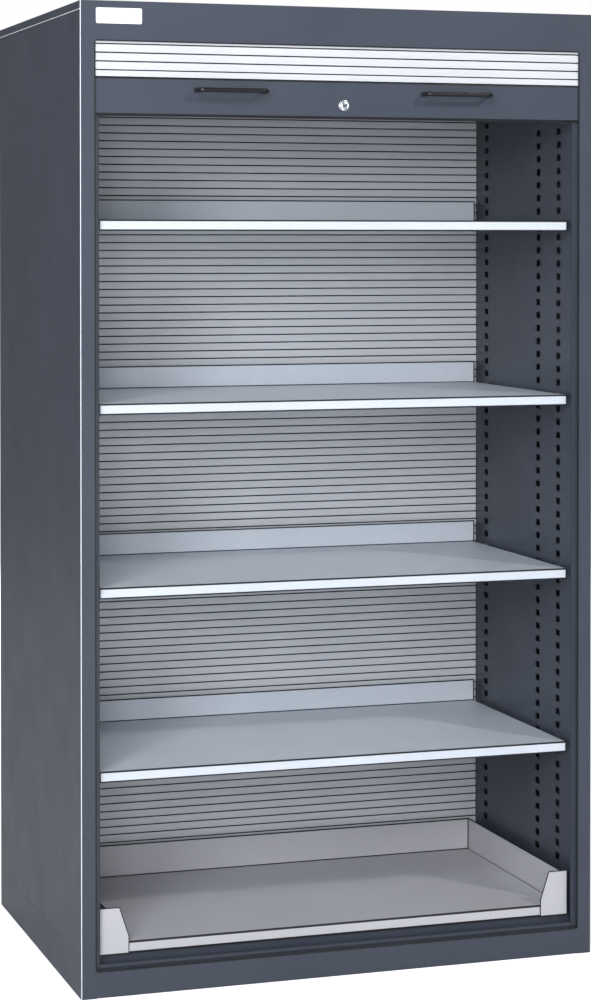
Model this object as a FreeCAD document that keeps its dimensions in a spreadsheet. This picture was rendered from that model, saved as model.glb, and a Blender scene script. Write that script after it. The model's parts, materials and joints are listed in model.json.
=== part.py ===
# A roll front tool cabinet: a sheet steel housing with a slatted shutter that runs up
# behind the header and over the top, four adjustable shelves and a pull-out tray.
# Millimetres. +Z is up, the front faces -Y, and the origin is the middle of the base.
import FreeCAD, Part
import math
import os
from types import SimpleNamespace

import Sketcher

Vector = FreeCAD.Vector
document = FreeCAD.newDocument("RollFrontCabinet")
sheet = document.addObject("Spreadsheet::Sheet", "Sizes")


class Size:
    """A length known both as a number and as the text of an expression on the sheet."""

    def __init__(self, text, value):
        self.text = text
        self.value = value

    def __add__(self, other):
        other = as_size(other)
        return Size(f"({self.text} + {other.text})", self.value + other.value)

    def __sub__(self, other):
        other = as_size(other)
        return Size(f"({self.text} - {other.text})", self.value - other.value)

    def __mul__(self, factor):
        factor = as_size(factor)
        return Size(f"({self.text} * {factor.text})", self.value * factor.value)

    def __truediv__(self, divisor):
        return Size(f"({self.text} / {divisor})", self.value / divisor)

    def __neg__(self):
        return Size(f"(0 - {self.text})", -self.value)


def as_size(number):
    """Give a plain number the same form as a size from the sheet."""
    if isinstance(number, Size):
        return number
    return Size(f"({number})", float(number))


# Driving dimensions in millimetres, and counts. Each one is a row of the sheet.
sizes = {
    "width": 1023,  # width over the side panels
    "depth": 725,  # depth over the front frame and the rear screw heads
    "height": 1836,  # height from the floor to the top cover
    "steel": 1.5,  # sheet steel of the housing
    "stile_width": 29,  # visible width of each front stile
    "header_height": 74,  # header above the shutter opening
    "header_return": 20.5,  # top fold of the header
    "sill_height": 51,  # front sill below the shutter opening
    "base_rise": 18,  # base frame at the sides and the rear above the floor
    "cover_fold": 17,  # side fold of the top cover
    "flange": 25,  # inward flange of side panels and back
    "base_flange": 30,  # flange of the base that stands on the floor
    "brace_width": 30,  # brace under the middle of the cabinet floor
    "lap": 20,  # strip of the base that laps behind the side panel
    "edge_break": 0.8,  # broken outer corner of the front stiles
    "floor_rise": 6,  # cabinet floor above the top of the sill
    "floor_front": 33,  # setback of the floor behind the front face
    "floor_flange": 14,  # front flange that stands on the floor under the tray
    "floor_flange_gap": 1,  # flange clear of the slotted liners
    "sill_ledge": 9,  # ledge of the sill under the floor

    # Shutter track, counted back from the front face
    "rail": 1,  # wall of the guide rails
    "lip_step": 9,  # rear lip of the guide beyond the stile
    "slat_thickness": 7,  # thickness of a slat
    "slat_gap": 0.7,  # running gap of the slats in the guides
    "slat_pitch": 16,  # slat pitch
    "slat_joint": 0.6,  # open joint between two slats
    "slat_taper": 1.2,  # each slat narrows by this towards its inner face
    "slat_bevel": 0.8,  # bevel along the outer face of a slat
    "slat_end_gap": 2.5,  # side play of the slats in the guides
    "bend_radius": 36,  # radius of the track's two bends
    "bend_ease": 1,  # extra room on the inside of the bends
    "track_top_gap": 3.8,  # track below the top cover
    "rear_space": 190.8,  # curtain's rear run to the outer face of the back panel
    "sill_lip": 9,  # lip that stands up behind the closed shutter
    "sill_foot": 19,  # foot of the sill lip
    "lead_slats": 5,  # slats that hang straight above the bar
    "first_slat": 12.5,  # visible part of the first slat
    "tail_slats": 2,  # slats at the hanging end of the curtain
    "tail_rise": 68,  # lower end of the curtain above the floor

    # Bottom bar of the shutter with its handles and lock
    "bar_height": 69.4,  # height of the bar
    "bar_sheet": 1.5,  # sheet of the bar
    "bar_proud": 0.3,  # bar face in front of the slats
    "bar_lip": 8,  # rear lips of the bar
    "seal_height": 2,  # rubber seal below the bar
    "seal_depth": 5,  # depth of the seal
    "seal_landing": 0.3,  # seal above the sill with the shutter shut
    "handle_holes": 132,  # hole spacing of a bow handle
    "handle_reach": 31,  # handle in front of the bar
    "handle_rod": 9,  # diameter of the handle's rod
    "handle_corner": 9,  # bend radius at the handle's corners
    "handle_offset": 225,  # middle of a handle from the middle of the bar
    "handle_drop": 22,  # handle below the top of the bar
    "screw_rod": 4,  # diameter of the small screws
    "screw_fit": 0.05,  # radial room around a small screw
    "screw_bite": 10,  # screw length inside a handle's leg
    "screw_head": 2.2,  # height of a screw head
    "screw_head_rod": 8,  # diameter of a screw head
    "lock_rise": 24,  # lock above the lower edge of the bar
    "lock_face": 21.5,  # diameter of the lock's face
    "lock_proud": 2.4,  # lock face in front of the bar
    "lock_body": 18,  # diameter of the lock's body
    "lock_depth": 10.2,  # lock body behind the bar's face
    "lock_nut": 25,  # nut across its corners
    "lock_nut_height": 4,  # height of the lock's nut
    "plug_rod": 14,  # diameter of the lock's plug
    "plug_fit": 0.08,  # radial room around the plug
    "key_length": 8,  # length of the key slot
    "key_width": 1.6,  # width of the key slot
    "key_depth": 6,  # depth of the key slot
    "cam_gap": 1,  # cam behind the lock body
    "cam_sheet": 2,  # sheet of the cam
    "cam_length": 23,  # cam from the plug's axis to its tip
    "cam_width": 14,  # width of the cam

    # Slotted side liners
    "liner_front_gap": 2.1,  # liner behind the guide's rear lip
    "liner_top_gap": 1,  # liner below the bends of the track
    "liner_rear_gap": 2.3,  # liner in front of the rear guide
    "slot_start": 114.7,  # lowest slots above the floor
    "slot_pitch": 26.2,  # slot pitch
    "slot_top_margin": 60,  # least distance of the highest slots from the liner's top
    "slot_high": 11.5,  # height of a slot
    "slot_wide": 18,  # width of a slot
    "slot_front": 80,  # front slot column behind the liner's front edge
    "slot_middle": 179,  # middle slot column behind the liner's front edge
    "slot_rear": 55,  # rear slot column in front of the liner's rear edge

    # Shelves and their clips
    "shelf_count": 4,  # number of shelves
    "shelf_sheet": 1.2,  # sheet of a shelf
    "shelf_front_gap": 13.1,  # shelf lip behind the guide's rear lip
    "shelf_end_gap": 12,  # shelf end to the liner
    "shelf_rear_gap": 18.3,  # shelf in front of the rear guide
    "shelf_lip": 21,  # height of the shelf's front lip
    "shelf_return": 12,  # fold back under the front lip
    "shelf_upstand": 45,  # upstand at the rear of a shelf
    "shelf_side_fold": 18,  # fold down at the shelf's ends
    "shelf_first_slot": 9,  # slot that carries the lowest shelf
    "shelf_slot_step": 13,  # slots from one shelf to the next
    "clip_rise": 6,  # shelf surface above the middle of its slots
    "clip_sheet": 1.5,  # sheet of a shelf clip
    "clip_side_fit": 1,  # clip clear of the sides of its slot
    "clip_ledge": 20,  # clip's ledge under the shelf
    "clip_tongue": 8,  # clip's tongue behind the liner
    "clip_slot_fit": 1.25,  # tongue clear of the top and bottom of its slot

    # Pull-out tray and its telescopic runners
    "tray_sheet": 1.5,  # sheet of the tray
    "tray_rise": 37.5,  # tray's floor above the cabinet floor
    "tray_lip": 22,  # front lip of the tray
    "tray_wall": 65.5,  # tray walls above its floor
    "tray_front_gap": 13.1,  # tray lip behind the guide's rear lip
    "tray_rear_gap": 16.3,  # tray in front of the rear guide
    "corner_side_gap": 0.8,  # corner plate clear of the guide's lip
    "corner_top": 40,  # upper width of a corner plate
    "corner_foot": 58,  # lower width of a corner plate
    "corner_slope_foot": 32,  # height where the plate's slope ends
    "runner_rear_gap": 13,  # runners end in front of the tray's rear
    "runner_front_gap": 9,  # runners start behind the tray's lip
    "runner_high": 45,  # height of the outer runner
    "runner_rise": 3,  # runner above the tray's floor
    "runner_thick": 12.7,  # thickness of a closed runner
    "runner_sheet": 1.2,  # sheet of the runners
    "runner_race": 0.7,  # gap of the ball races
    "runner_web_gap": 2,  # middle member clear of the outer one's web
    "runner_web_step": 1.6,  # flanges of the middle member past its web
    "runner_nose_gap": 1,  # inner member clear of the middle one's web
    "runner_mouth": 3.2,  # outer and middle flanges stop short of the tray
    "runner_side_gap": 0.3,  # runner clear of the guide's lip
    "spacer_long": 20,  # length of a runner spacer
    "spacer_high": 28,  # height of a runner spacer
    "spacer_inset": 40,  # spacer from the end of the runner

    # Small parts
    "label_width": 87,  # blank label plate
    "label_height": 29,  # height of the label plate
    "label_sheet": 0.8,  # thickness of the label plate
    "label_drop": 13,  # label plate below the top
    "label_corner": 3,  # corner radius of the label plate
    "back_screw_rows": 5,  # rows of screws in the back panel
    "back_screw_inset": 13,  # back screw from the side face
    "back_screw_end": 60,  # outer screw rows from the panel's ends
    "back_screw_length": 9,  # length of a back screw
    "cut_over": 1,  # tools reach past what they cut
}


def on_sheet(table):
    """Write every driving dimension into the sheet and return them by name."""
    named = {}
    for row, (alias, value) in enumerate(table.items(), 1):
        sheet.set(f"A{row}", alias)
        sheet.set(f"B{row}", str(value))
        sheet.setAlias(f"B{row}", alias)
        named[alias] = Size(f"Sizes.{alias}", float(value))
    return SimpleNamespace(**named)


mm = on_sheet(sizes)

# Places worked out from the driving dimensions
floor_top = mm.sill_height + mm.floor_rise
base_height = floor_top + mm.base_rise
front_y = -mm.depth / 2
rear_y = mm.depth / 2 - mm.screw_head
side_x = mm.width / 2
inner_x = side_x - mm.steel
opening_x = side_x - mm.stile_width
lip_reach = mm.stile_width + mm.lip_step
lip_x = side_x - lip_reach
header_z = mm.height - mm.header_height
half_track = mm.slat_thickness / 2 + mm.slat_gap
slat_front_y = front_y + mm.steel + mm.rail + mm.slat_gap
track_y = slat_front_y + mm.slat_thickness / 2
lip_rear_y = track_y + half_track + mm.rail
slat_length = (inner_x - mm.rail - mm.slat_end_gap) * 2
top_run_z = mm.height - mm.steel - mm.track_top_gap - mm.rail - half_track
feed_top = top_run_z - mm.bend_radius
lead_top = feed_top - mm.slat_pitch
bar_top = lead_top - mm.slat_pitch * (mm.lead_slats - 1) - mm.first_slat
rear_track_y = rear_y - mm.rear_space - mm.slat_thickness / 2
rear_guide_y = rear_track_y - half_track - mm.rail
tail_bottom = floor_top + mm.tail_rise
bar_bottom = bar_top - mm.bar_height
seal_bottom = bar_bottom - mm.seal_height
bar_face_y = slat_front_y - mm.bar_proud
lock_z = bar_bottom + mm.lock_rise
liner_x = opening_x
liner_front_y = lip_rear_y + mm.liner_front_gap
liner_rear_y = rear_guide_y - mm.liner_rear_gap
liner_top = feed_top - mm.liner_top_gap
slot_first = floor_top + mm.slot_start
slot_room = liner_top - mm.slot_top_margin - slot_first
slot_count = Size(
    f"(floor({slot_room.text} / {mm.slot_pitch.text}) + 1)",
    math.floor(slot_room.value / mm.slot_pitch.value) + 1,
)
slot_columns = (
    liner_front_y + mm.slot_front,
    liner_front_y + mm.slot_middle,
    liner_rear_y - mm.slot_rear,
)
clip_columns = (slot_columns[0], slot_columns[-1])
shelf_x = liner_x - mm.shelf_end_gap
tray_floor = floor_top + mm.tray_rise
tray_front_y = lip_rear_y + mm.tray_front_gap
tray_rear_y = rear_guide_y - mm.tray_rear_gap
runner_x = lip_x - mm.runner_side_gap
tray_x = runner_x - mm.runner_thick
runner_z = tray_floor + mm.runner_rise

nodes = []


def add(kind, name):
    """Add one object to the document."""
    return document.addObject(kind, name)


def node(label, shape_object):
    """Name a finished sub-part."""
    shape_object.Label = label
    nodes.append(shape_object)
    return shape_object


def place(target, x, y, z):
    """Bind where an object stands."""
    target.setExpression("Placement.Base.x", as_size(x).text)
    target.setExpression("Placement.Base.y", as_size(y).text)
    target.setExpression("Placement.Base.z", as_size(z).text)


def box(name, x, y, z):
    """A box between two bounds on each axis."""
    solid = add("Part::Box", name)
    for prop, (low, high) in zip(("Length", "Width", "Height"), (x, y, z)):
        solid.setExpression(prop, (as_size(high) - low).text)
    place(solid, x[0], y[0], z[0])
    return solid


def rod(name, diameter, x, y, z):
    """A round rod along Y between the two bounds of y."""
    solid = add("Part::Cylinder", name)
    solid.setExpression("Radius", (as_size(diameter) / 2).text)
    solid.setExpression("Height", (as_size(y[1]) - y[0]).text)
    solid.Placement.Rotation = FreeCAD.Rotation(Vector(1, 0, 0), -90)
    place(solid, x, y[0], z)
    return solid


def fused(name, solids):
    """Several primitives as one piece."""
    whole = add("Part::MultiFuse", name)
    whole.Shapes = solids
    whole.Refine = True
    return whole


def drilled(name, base, tools):
    """A piece with one or more tools cut out of it."""
    tool = tools[0]
    if len(tools) > 1:
        tool = fused(name + "_tools", tools)
    rest = add("Part::Cut", name)
    rest.Base = base
    rest.Tool = tool
    return rest


def separate(name, solids):
    """Identical small pieces that stay separate solids."""
    together = add("Part::Compound", name)
    together.Links = solids
    return together


def sketch_on(body, role, name, outlines):
    """A closed sketch on one of the body's own planes, each corner bound to sizes."""
    sketch = body.newObject("Sketcher::SketchObject", name)
    plane = [item for item in body.Origin.OriginFeatures if item.Role == role][0]
    sketch.AttachmentSupport = (plane, [""])
    sketch.MapMode = "FlatFace"
    for outline in outlines:
        corners = [(as_size(u), as_size(v)) for u, v in outline]
        first = sketch.GeometryCount
        last = len(corners) - 1
        points = [Vector(u.value, v.value, 0) for u, v in corners]
        for index, point in enumerate(points):
            following = points[0] if index == last else points[index + 1]
            sketch.addGeometry(Part.LineSegment(point, following), False)
        for index, (u, v) in enumerate(corners):
            following = first if index == last else first + index + 1
            sketch.addConstraint(Sketcher.Constraint("Coincident", first + index, 2, following, 1))
            for kind, size in (("DistanceX", u), ("DistanceY", v)):
                rule = Sketcher.Constraint(kind, -1, 1, first + index, 1, size.value)
                number = sketch.addConstraint(rule)
                sketch.setExpression(f"Constraints[{number}]", size.text)
    return sketch


def profile(name, role, outline, start, end):
    """A body whose outline is drawn on a plane and drawn out from start to end.

    On YZ_Plane the outline is (y, z) and runs along x, on XZ_Plane it is (x, z) and
    runs along y, and on XY_Plane it is (x, y) and runs along z.
    """
    body = add("PartDesign::Body", name)
    sketch = sketch_on(body, role, name + "_outline", [outline])
    pad = body.newObject("PartDesign::Pad", name + "_pad")
    pad.Profile = sketch
    pad.setExpression("Length", (as_size(end) - start).text)
    pad.Reversed = role == "XZ_Plane"
    body.Tip = pad
    axis = {"YZ_Plane": 0, "XZ_Plane": 1, "XY_Plane": 2}[role]
    target = [0, 0, 0]
    target[axis] = start
    place(body, *target)
    return body


def side_name(side):
    """The name of a side as seen from the front."""
    return "left" if side < 0 else "right"


def side_bounds(side, outer, inner):
    """Bounds on x for a piece between two distances from the middle, on one side."""
    if side > 0:
        return inner, outer
    return -outer, -inner


def side_outline(side, outline):
    """Mirror an outline of (x, other) points to one side."""
    return [(as_size(x) * side, other) for x, other in outline]


def housing():
    """Covers, frame and floor of the cabinet."""
    cover_y = front_y + mm.steel
    cover_fold_z = mm.height - mm.cover_fold
    cover_outline = [
        (-side_x, cover_fold_z),
        (-inner_x, cover_fold_z),
        (-inner_x, mm.height - mm.steel),
        (inner_x, mm.height - mm.steel),
        (inner_x, cover_fold_z),
        (side_x, cover_fold_z),
        (side_x, mm.height),
        (-side_x, mm.height),
    ]
    node("top_cover", profile("TopCover", "XZ_Plane", cover_outline, cover_y, rear_y - mm.steel))

    return_y = front_y + mm.header_return
    header_outline = [
        (front_y, header_z),
        (front_y + mm.steel, header_z),
        (front_y + mm.steel, mm.height - mm.steel * 2),
        (return_y, mm.height - mm.steel * 2),
        (return_y, mm.height - mm.steel),
        (front_y + mm.steel, mm.height - mm.steel),
        (front_y + mm.steel, mm.height),
        (front_y, mm.height),
    ]
    node("header_panel", profile("Header", "YZ_Plane", header_outline, -opening_x, opening_x))

    ledge_y = front_y + mm.floor_front + mm.sill_ledge
    foot_y = front_y + mm.base_flange
    sill_outline = [
        (front_y, 0),
        (foot_y, 0),
        (foot_y, mm.steel),
        (front_y + mm.steel, mm.steel),
        (front_y + mm.steel, mm.sill_height - mm.steel),
        (ledge_y, mm.sill_height - mm.steel),
        (ledge_y, mm.sill_height),
        (front_y, mm.sill_height),
    ]
    node("sill_panel", profile("Sill", "YZ_Plane", sill_outline, -opening_x, opening_x))

    floor_y = front_y + mm.floor_front
    floor_rear = rear_y - mm.steel
    floor_outline = [
        (floor_y, mm.sill_height),
        (floor_y + mm.steel, mm.sill_height),
        (floor_y + mm.steel, floor_top - mm.steel),
        (floor_rear, floor_top - mm.steel),
        (floor_rear, base_height),
        (floor_rear - mm.steel, base_height),
        (floor_rear - mm.steel, floor_top),
        (floor_y, floor_top),
    ]
    floor_x = inner_x - mm.steel
    floor_sheet = profile("Floor", "YZ_Plane", floor_outline, -floor_x, floor_x)
    flange_x = opening_x - mm.floor_flange_gap
    flange_z = (floor_top - mm.steel, floor_top + mm.floor_flange)
    flange = box("FloorFlange", (-flange_x, flange_x), (floor_y, floor_y + mm.steel), flange_z)
    node("floor_plate", fused("FloorPlate", [floor_sheet, flange]))

    screws_x = side_x - mm.back_screw_inset
    rows = int(mm.back_screw_rows.value)
    low_z = base_height + mm.back_screw_end
    high_z = mm.height - mm.steel - mm.back_screw_end
    screw_places = []
    for row in range(rows):
        row_z = low_z + (high_z - low_z) * (row / max(rows - 1, 1))
        for side in (-1, 1):
            screw_places.append((screws_x * side, row_z))
    hole = mm.screw_rod + mm.screw_fit * 2
    hole_y = (rear_y - mm.steel * 2 - mm.cut_over, rear_y + mm.cut_over)

    panel = box("BackSheet", (-side_x, side_x), (rear_y - mm.steel, rear_y), (base_height, mm.height))
    holes = [rod(f"BackHole{i}", hole, x, hole_y, z) for i, (x, z) in enumerate(screw_places)]
    node("back_panel", drilled("BackPanel", panel, holes))

    screws = []
    for i, (x, z) in enumerate(screw_places):
        shank = rod(f"BackShank{i}", mm.screw_rod, x, (rear_y - mm.back_screw_length, rear_y), z)
        head = rod(f"BackHead{i}", mm.screw_head_rod, x, (rear_y, rear_y + mm.screw_head), z)
        screws.append(fused(f"BackScrew{i}", [shank, head]))
    node("back_screws", separate("BackScrews", screws))

    base_web = box("BaseRearWeb", (-side_x, side_x), (rear_y - mm.steel, rear_y), (0, base_height))
    rear_foot_x = side_x - mm.base_flange
    rear_foot_y = (rear_y - mm.base_flange, rear_y - mm.steel)
    base_foot = box("BaseRearFoot", (-rear_foot_x, rear_foot_x), rear_foot_y, (0, mm.steel))
    half = mm.brace_width / 2
    under_floor = floor_top - mm.steel
    brace_outline = [
        (-half, 0),
        (half, 0),
        (half, mm.steel),
        (mm.steel - half, mm.steel),
        (mm.steel - half, under_floor - mm.steel),
        (half, under_floor - mm.steel),
        (half, under_floor),
        (-half, under_floor),
    ]
    brace = profile("BaseBrace", "XZ_Plane", brace_outline, ledge_y, rear_y - mm.steel)
    node("base_rear", fused("BaseRear", [base_web, base_foot, brace]))

    for side in (-1, 1):
        housing_side(side, screw_places)


def housing_side(side, screw_places):
    """Stile, side panel and base member of one side."""
    name = side_name(side)
    tag = name.capitalize()
    stile_back_y = front_y + mm.steel
    stile_outline = side_outline(side, [
        (opening_x, front_y),
        (side_x - mm.edge_break, front_y),
        (side_x, front_y + mm.edge_break),
        (side_x, stile_back_y),
        (opening_x, stile_back_y),
    ])
    node(f"front_stile_{name}", profile(f"Stile{tag}", "XY_Plane", stile_outline, 0, mm.height))

    wall_outline = side_outline(side, [
        (side_x, stile_back_y),
        (side_x, rear_y - mm.steel),
        (side_x - mm.flange, rear_y - mm.steel),
        (side_x - mm.flange, rear_y - mm.steel * 2),
        (inner_x, rear_y - mm.steel * 2),
        (inner_x, stile_back_y),
    ])
    wall_top = mm.height - mm.cover_fold
    wall = profile(f"Wall{tag}", "XY_Plane", wall_outline, base_height, wall_top)
    hole = mm.screw_rod + mm.screw_fit * 2
    hole_y = (rear_y - mm.steel * 2 - mm.cut_over, rear_y + mm.cut_over)
    places = [(x, z) for x, z in screw_places if x.value * side > 0]
    holes = [rod(f"WallHole{tag}{i}", hole, x, hole_y, z) for i, (x, z) in enumerate(places)]
    node(f"side_panel_{name}", drilled(f"SidePanel{tag}", wall, holes))

    run_y = (stile_back_y, rear_y - mm.steel)
    seat_z = floor_top - mm.steel
    web = box(f"BaseWeb{tag}", side_bounds(side, side_x, inner_x), run_y, (0, base_height))
    foot_x = side_bounds(side, inner_x, side_x - mm.base_flange)
    rail_y = (front_y + mm.floor_front + mm.steel, rear_y - mm.steel)
    foot = box(f"BaseFoot{tag}", foot_x, (foot_clear_y(), rear_y - mm.steel), (0, mm.steel))
    seat = box(f"BaseSeat{tag}", foot_x, rail_y, (seat_z - mm.steel, seat_z))
    lap_x = side_bounds(side, inner_x, inner_x - mm.steel)
    lap_y = (front_y + mm.floor_front, liner_rear_y)
    strip = box(f"BaseLap{tag}", lap_x, lap_y, (seat_z - mm.steel, base_height + mm.lap))
    node(f"base_side_{name}", fused(f"BaseSide{tag}", [web, foot, seat, strip]))


def foot_clear_y():
    """Where the side feet start behind the foot of the sill."""
    return front_y + mm.base_flange


def channel(side, face, near, far, near_reach, far_reach):
    """Outline of a guide channel that opens towards the middle of the cabinet.

    near and far are the inner faces of its two flanges, and the reaches are counted
    from the outer side face. face gives the web.
    """
    near_x = side_x - near_reach
    far_x = side_x - far_reach
    return side_outline(side, [
        (face, near - mm.rail),
        (face, far + mm.rail),
        (far_x, far + mm.rail),
        (far_x, far),
        (face - mm.rail, far),
        (face - mm.rail, near),
        (near_x, near),
        (near_x, near - mm.rail),
    ])


def track():
    """Guide rails that carry the ends of the slats around the cabinet."""
    half = half_track
    rear_reach = mm.stile_width
    for side in (-1, 1):
        name = side_name(side)
        tag = name.capitalize()
        near = track_y - half
        far = track_y + half
        outline = channel(side, inner_x, near, far, mm.stile_width, lip_reach)
        rails = profile(f"FrontGuide{tag}", "XY_Plane", outline, mm.sill_height, feed_top)
        node(f"front_guide_{name}", rails)

        rear_near = rear_track_y - half
        rear_far = rear_track_y + half
        outline = channel(side, inner_x, rear_near, rear_far, rear_reach, rear_reach)
        rails = profile(f"RearGuide{tag}", "XY_Plane", outline, floor_top, feed_top)
        node(f"rear_guide_{name}", rails)

        top_y = (track_y + mm.bend_radius, rear_track_y - mm.bend_radius)
        outline = channel(side, inner_x, top_run_z - half, top_run_z + half, mm.stile_width, mm.stile_width)
        rails = profile(f"TopGuide{tag}", "XZ_Plane", outline, *top_y)
        node(f"top_guide_{name}", rails)

        low = -mm.bend_radius - half
        high = -mm.bend_radius + half + mm.bend_ease
        outline = channel(side, inner_x, low, high, mm.stile_width, mm.stile_width)
        bend = turned(f"FrontBend{tag}", outline, True)
        place(bend, 0, top_y[0], feed_top)
        node(f"front_bend_{name}", bend)

        low = mm.bend_radius - half - mm.bend_ease
        high = mm.bend_radius + half
        outline = channel(side, inner_x, low, high, mm.stile_width, mm.stile_width)
        bend = turned(f"RearBend{tag}", outline, False)
        place(bend, 0, top_y[1], feed_top)
        node(f"rear_bend_{name}", bend)

    lip_y = track_y + half
    foot_y = lip_y + mm.rail + mm.sill_foot
    outline = [
        (lip_y, mm.sill_height),
        (foot_y, mm.sill_height),
        (foot_y, mm.sill_height + mm.rail),
        (lip_y + mm.rail, mm.sill_height + mm.rail),
        (lip_y + mm.rail, mm.sill_height + mm.sill_lip),
        (lip_y, mm.sill_height + mm.sill_lip),
    ]
    node("sill_guide", profile("SillGuide", "YZ_Plane", outline, -lip_x, lip_x))


def turned(name, outline, backwards):
    """A quarter turn of an (x, y) outline about the X axis of its own body."""
    body = add("PartDesign::Body", name)
    sketch = sketch_on(body, "XY_Plane", name + "_outline", [outline])
    bend = body.newObject("PartDesign::Revolution", name + "_turn")
    bend.Profile = sketch
    bend.ReferenceAxis = (sketch, ["H_Axis"])
    bend.Angle = 90
    bend.Reversed = backwards
    body.Tip = bend
    return body


def path_point(distance):
    """Point (y, z) of the slats' middle line, distance above the bar's top edge."""
    y = track_y.value
    z = bar_top.value
    radius = mm.bend_radius.value
    quarter = math.pi / 2 * radius
    straight = feed_top.value - z
    top_length = rear_track_y.value - y - 2 * radius
    if distance <= straight:
        return y, z + distance
    distance -= straight
    if distance <= quarter:
        angle = distance / radius
        return y + radius - radius * math.cos(angle), feed_top.value + radius * math.sin(angle)
    distance -= quarter
    if distance <= top_length:
        return y + radius + distance, top_run_z.value
    distance -= top_length
    if distance <= quarter:
        angle = distance / radius
        turn_y = rear_track_y.value - radius
        return turn_y + radius * math.sin(angle), feed_top.value + radius * math.cos(angle)
    distance -= quarter
    return rear_track_y.value, feed_top.value - distance


def slat_solid(start, end):
    """One slat that spans the track's middle line between two distances."""
    y0, z0 = path_point(start)
    y1, z1 = path_point(end)
    length = math.hypot(y1 - y0, z1 - z0)
    half = (length - mm.slat_joint.value) / 2
    thick = mm.slat_thickness.value / 2
    taper = mm.slat_taper.value
    bevel = mm.slat_bevel.value
    section = [
        (-half + bevel, thick),
        (half - bevel, thick),
        (half, thick - bevel),
        (half, 0),
        (half - taper, -thick),
        (-half + taper, -thick),
        (-half, 0),
        (-half, thick - bevel),
    ]
    along = Vector(0, (y1 - y0) / length, (z1 - z0) / length)
    outward = Vector(0, -along.z, along.y)
    middle = Vector(-slat_length.value / 2, (y0 + y1) / 2, (z0 + z1) / 2)
    points = [middle + along * u + outward * v for u, v in section]
    face = Part.Face(Part.makePolygon(points + [points[0]]))
    return face.extrude(Vector(slat_length.value, 0, 0))


def slat_group(label, starts):
    """Slats that start at the given distances, as separate solids of one node."""
    pitch = mm.slat_pitch.value
    group = add("Part::Feature", label.title().replace("_", ""))
    group.Shape = Part.makeCompound([slat_solid(start, start + pitch) for start in starts])
    group.Placement = FreeCAD.Placement()
    node(label, group)


def curtain():
    """The slatted shutter: one chain of slats along the whole track."""
    pitch = mm.slat_pitch.value
    leads = int(mm.lead_slats.value)
    lead = [mm.first_slat.value + pitch * index for index in range(leads - 1)]
    trimmed = slat_solid(mm.slat_joint.value / 2, mm.first_slat.value)
    group = add("Part::Feature", "LeadSlats")
    group.Shape = Part.makeCompound([trimmed] + [slat_solid(s, s + pitch) for s in lead])
    group.Placement = FreeCAD.Placement()
    node("lead_slats", group)

    straight = feed_top.value - bar_top.value
    quarter = math.pi / 2 * mm.bend_radius.value
    top_length = rear_track_y.value - track_y.value - 2 * mm.bend_radius.value
    rear_start = straight + 2 * quarter + top_length
    tail_end = rear_start + feed_top.value - tail_bottom.value
    feed_start = lead_top.value - bar_top.value
    slat_group("feed_slat", [feed_start])

    starts = []
    start = feed_start + pitch
    while start + pitch <= tail_end:
        starts.append(start)
        start += pitch
    tail = int(mm.tail_slats.value)
    in_front = [s for s in starts if s + pitch / 2 < straight + quarter]
    in_rear = [s for s in starts if s >= rear_start]
    in_top = [s for s in starts if s not in in_front and s + pitch / 2 < straight + quarter + top_length]
    in_rear_bend = [s for s in starts if s not in in_front + in_top + in_rear]
    slat_group("curtain_front_bend", in_front)
    slat_group("curtain_top_run", in_top)
    slat_group("curtain_rear_bend", in_rear_bend)
    slat_group("curtain_rear_run", in_rear[:-tail])
    slat_group("curtain_tail", in_rear[-tail:])


def shutter_bar():
    """The flush bar at the shutter's lower edge, with handles, lock and seal."""
    back = slat_front_y + mm.slat_thickness
    face = bar_face_y
    inside = face + mm.bar_sheet
    outline = [
        (face, bar_bottom),
        (back, bar_bottom),
        (back, bar_bottom + mm.bar_lip),
        (back - mm.bar_sheet, bar_bottom + mm.bar_lip),
        (back - mm.bar_sheet, bar_bottom + mm.bar_sheet),
        (inside, bar_bottom + mm.bar_sheet),
        (inside, bar_top - mm.bar_sheet),
        (back - mm.bar_sheet, bar_top - mm.bar_sheet),
        (back - mm.bar_sheet, bar_top - mm.bar_lip),
        (back, bar_top - mm.bar_lip),
        (back, bar_top),
        (face, bar_top),
    ]
    half = slat_length / 2
    blank = profile("BarBlank", "YZ_Plane", outline, -half, half)
    cut_y = (face - mm.cut_over, inside + mm.cut_over)
    handle_z = bar_top - mm.handle_drop
    hole = mm.screw_rod + mm.screw_fit * 2
    feet = []
    for side in (-1, 1):
        for end in (-1, 1):
            feet.append(mm.handle_offset * side + mm.handle_holes / 2 * end)
    tools = [rod(f"BarHole{i}", hole, x, cut_y, handle_z) for i, x in enumerate(feet)]
    tools.append(rod("BarLockHole", mm.lock_body + mm.screw_fit * 2, 0, cut_y, lock_z))
    node("shutter_bar", drilled("ShutterBar", blank, tools))

    seal_y = (back - mm.seal_depth, back)
    seal = box("BarSeal", (-lip_x, lip_x), seal_y, (seal_bottom, bar_bottom))
    node("bottom_seal", seal)

    for side in (-1, 1):
        bow_handle(side, handle_z, hole)

    screws = []
    for i, x in enumerate(feet):
        shank = rod(f"HandleShank{i}", mm.screw_rod, x, (face - mm.screw_bite, inside), handle_z)
        head = rod(f"HandleHead{i}", mm.screw_head_rod, x, (inside, inside + mm.screw_head), handle_z)
        screws.append(fused(f"HandleScrew{i}", [shank, head]))
    node("handle_screws", separate("HandleScrews", screws))
    lock(inside)


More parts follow.
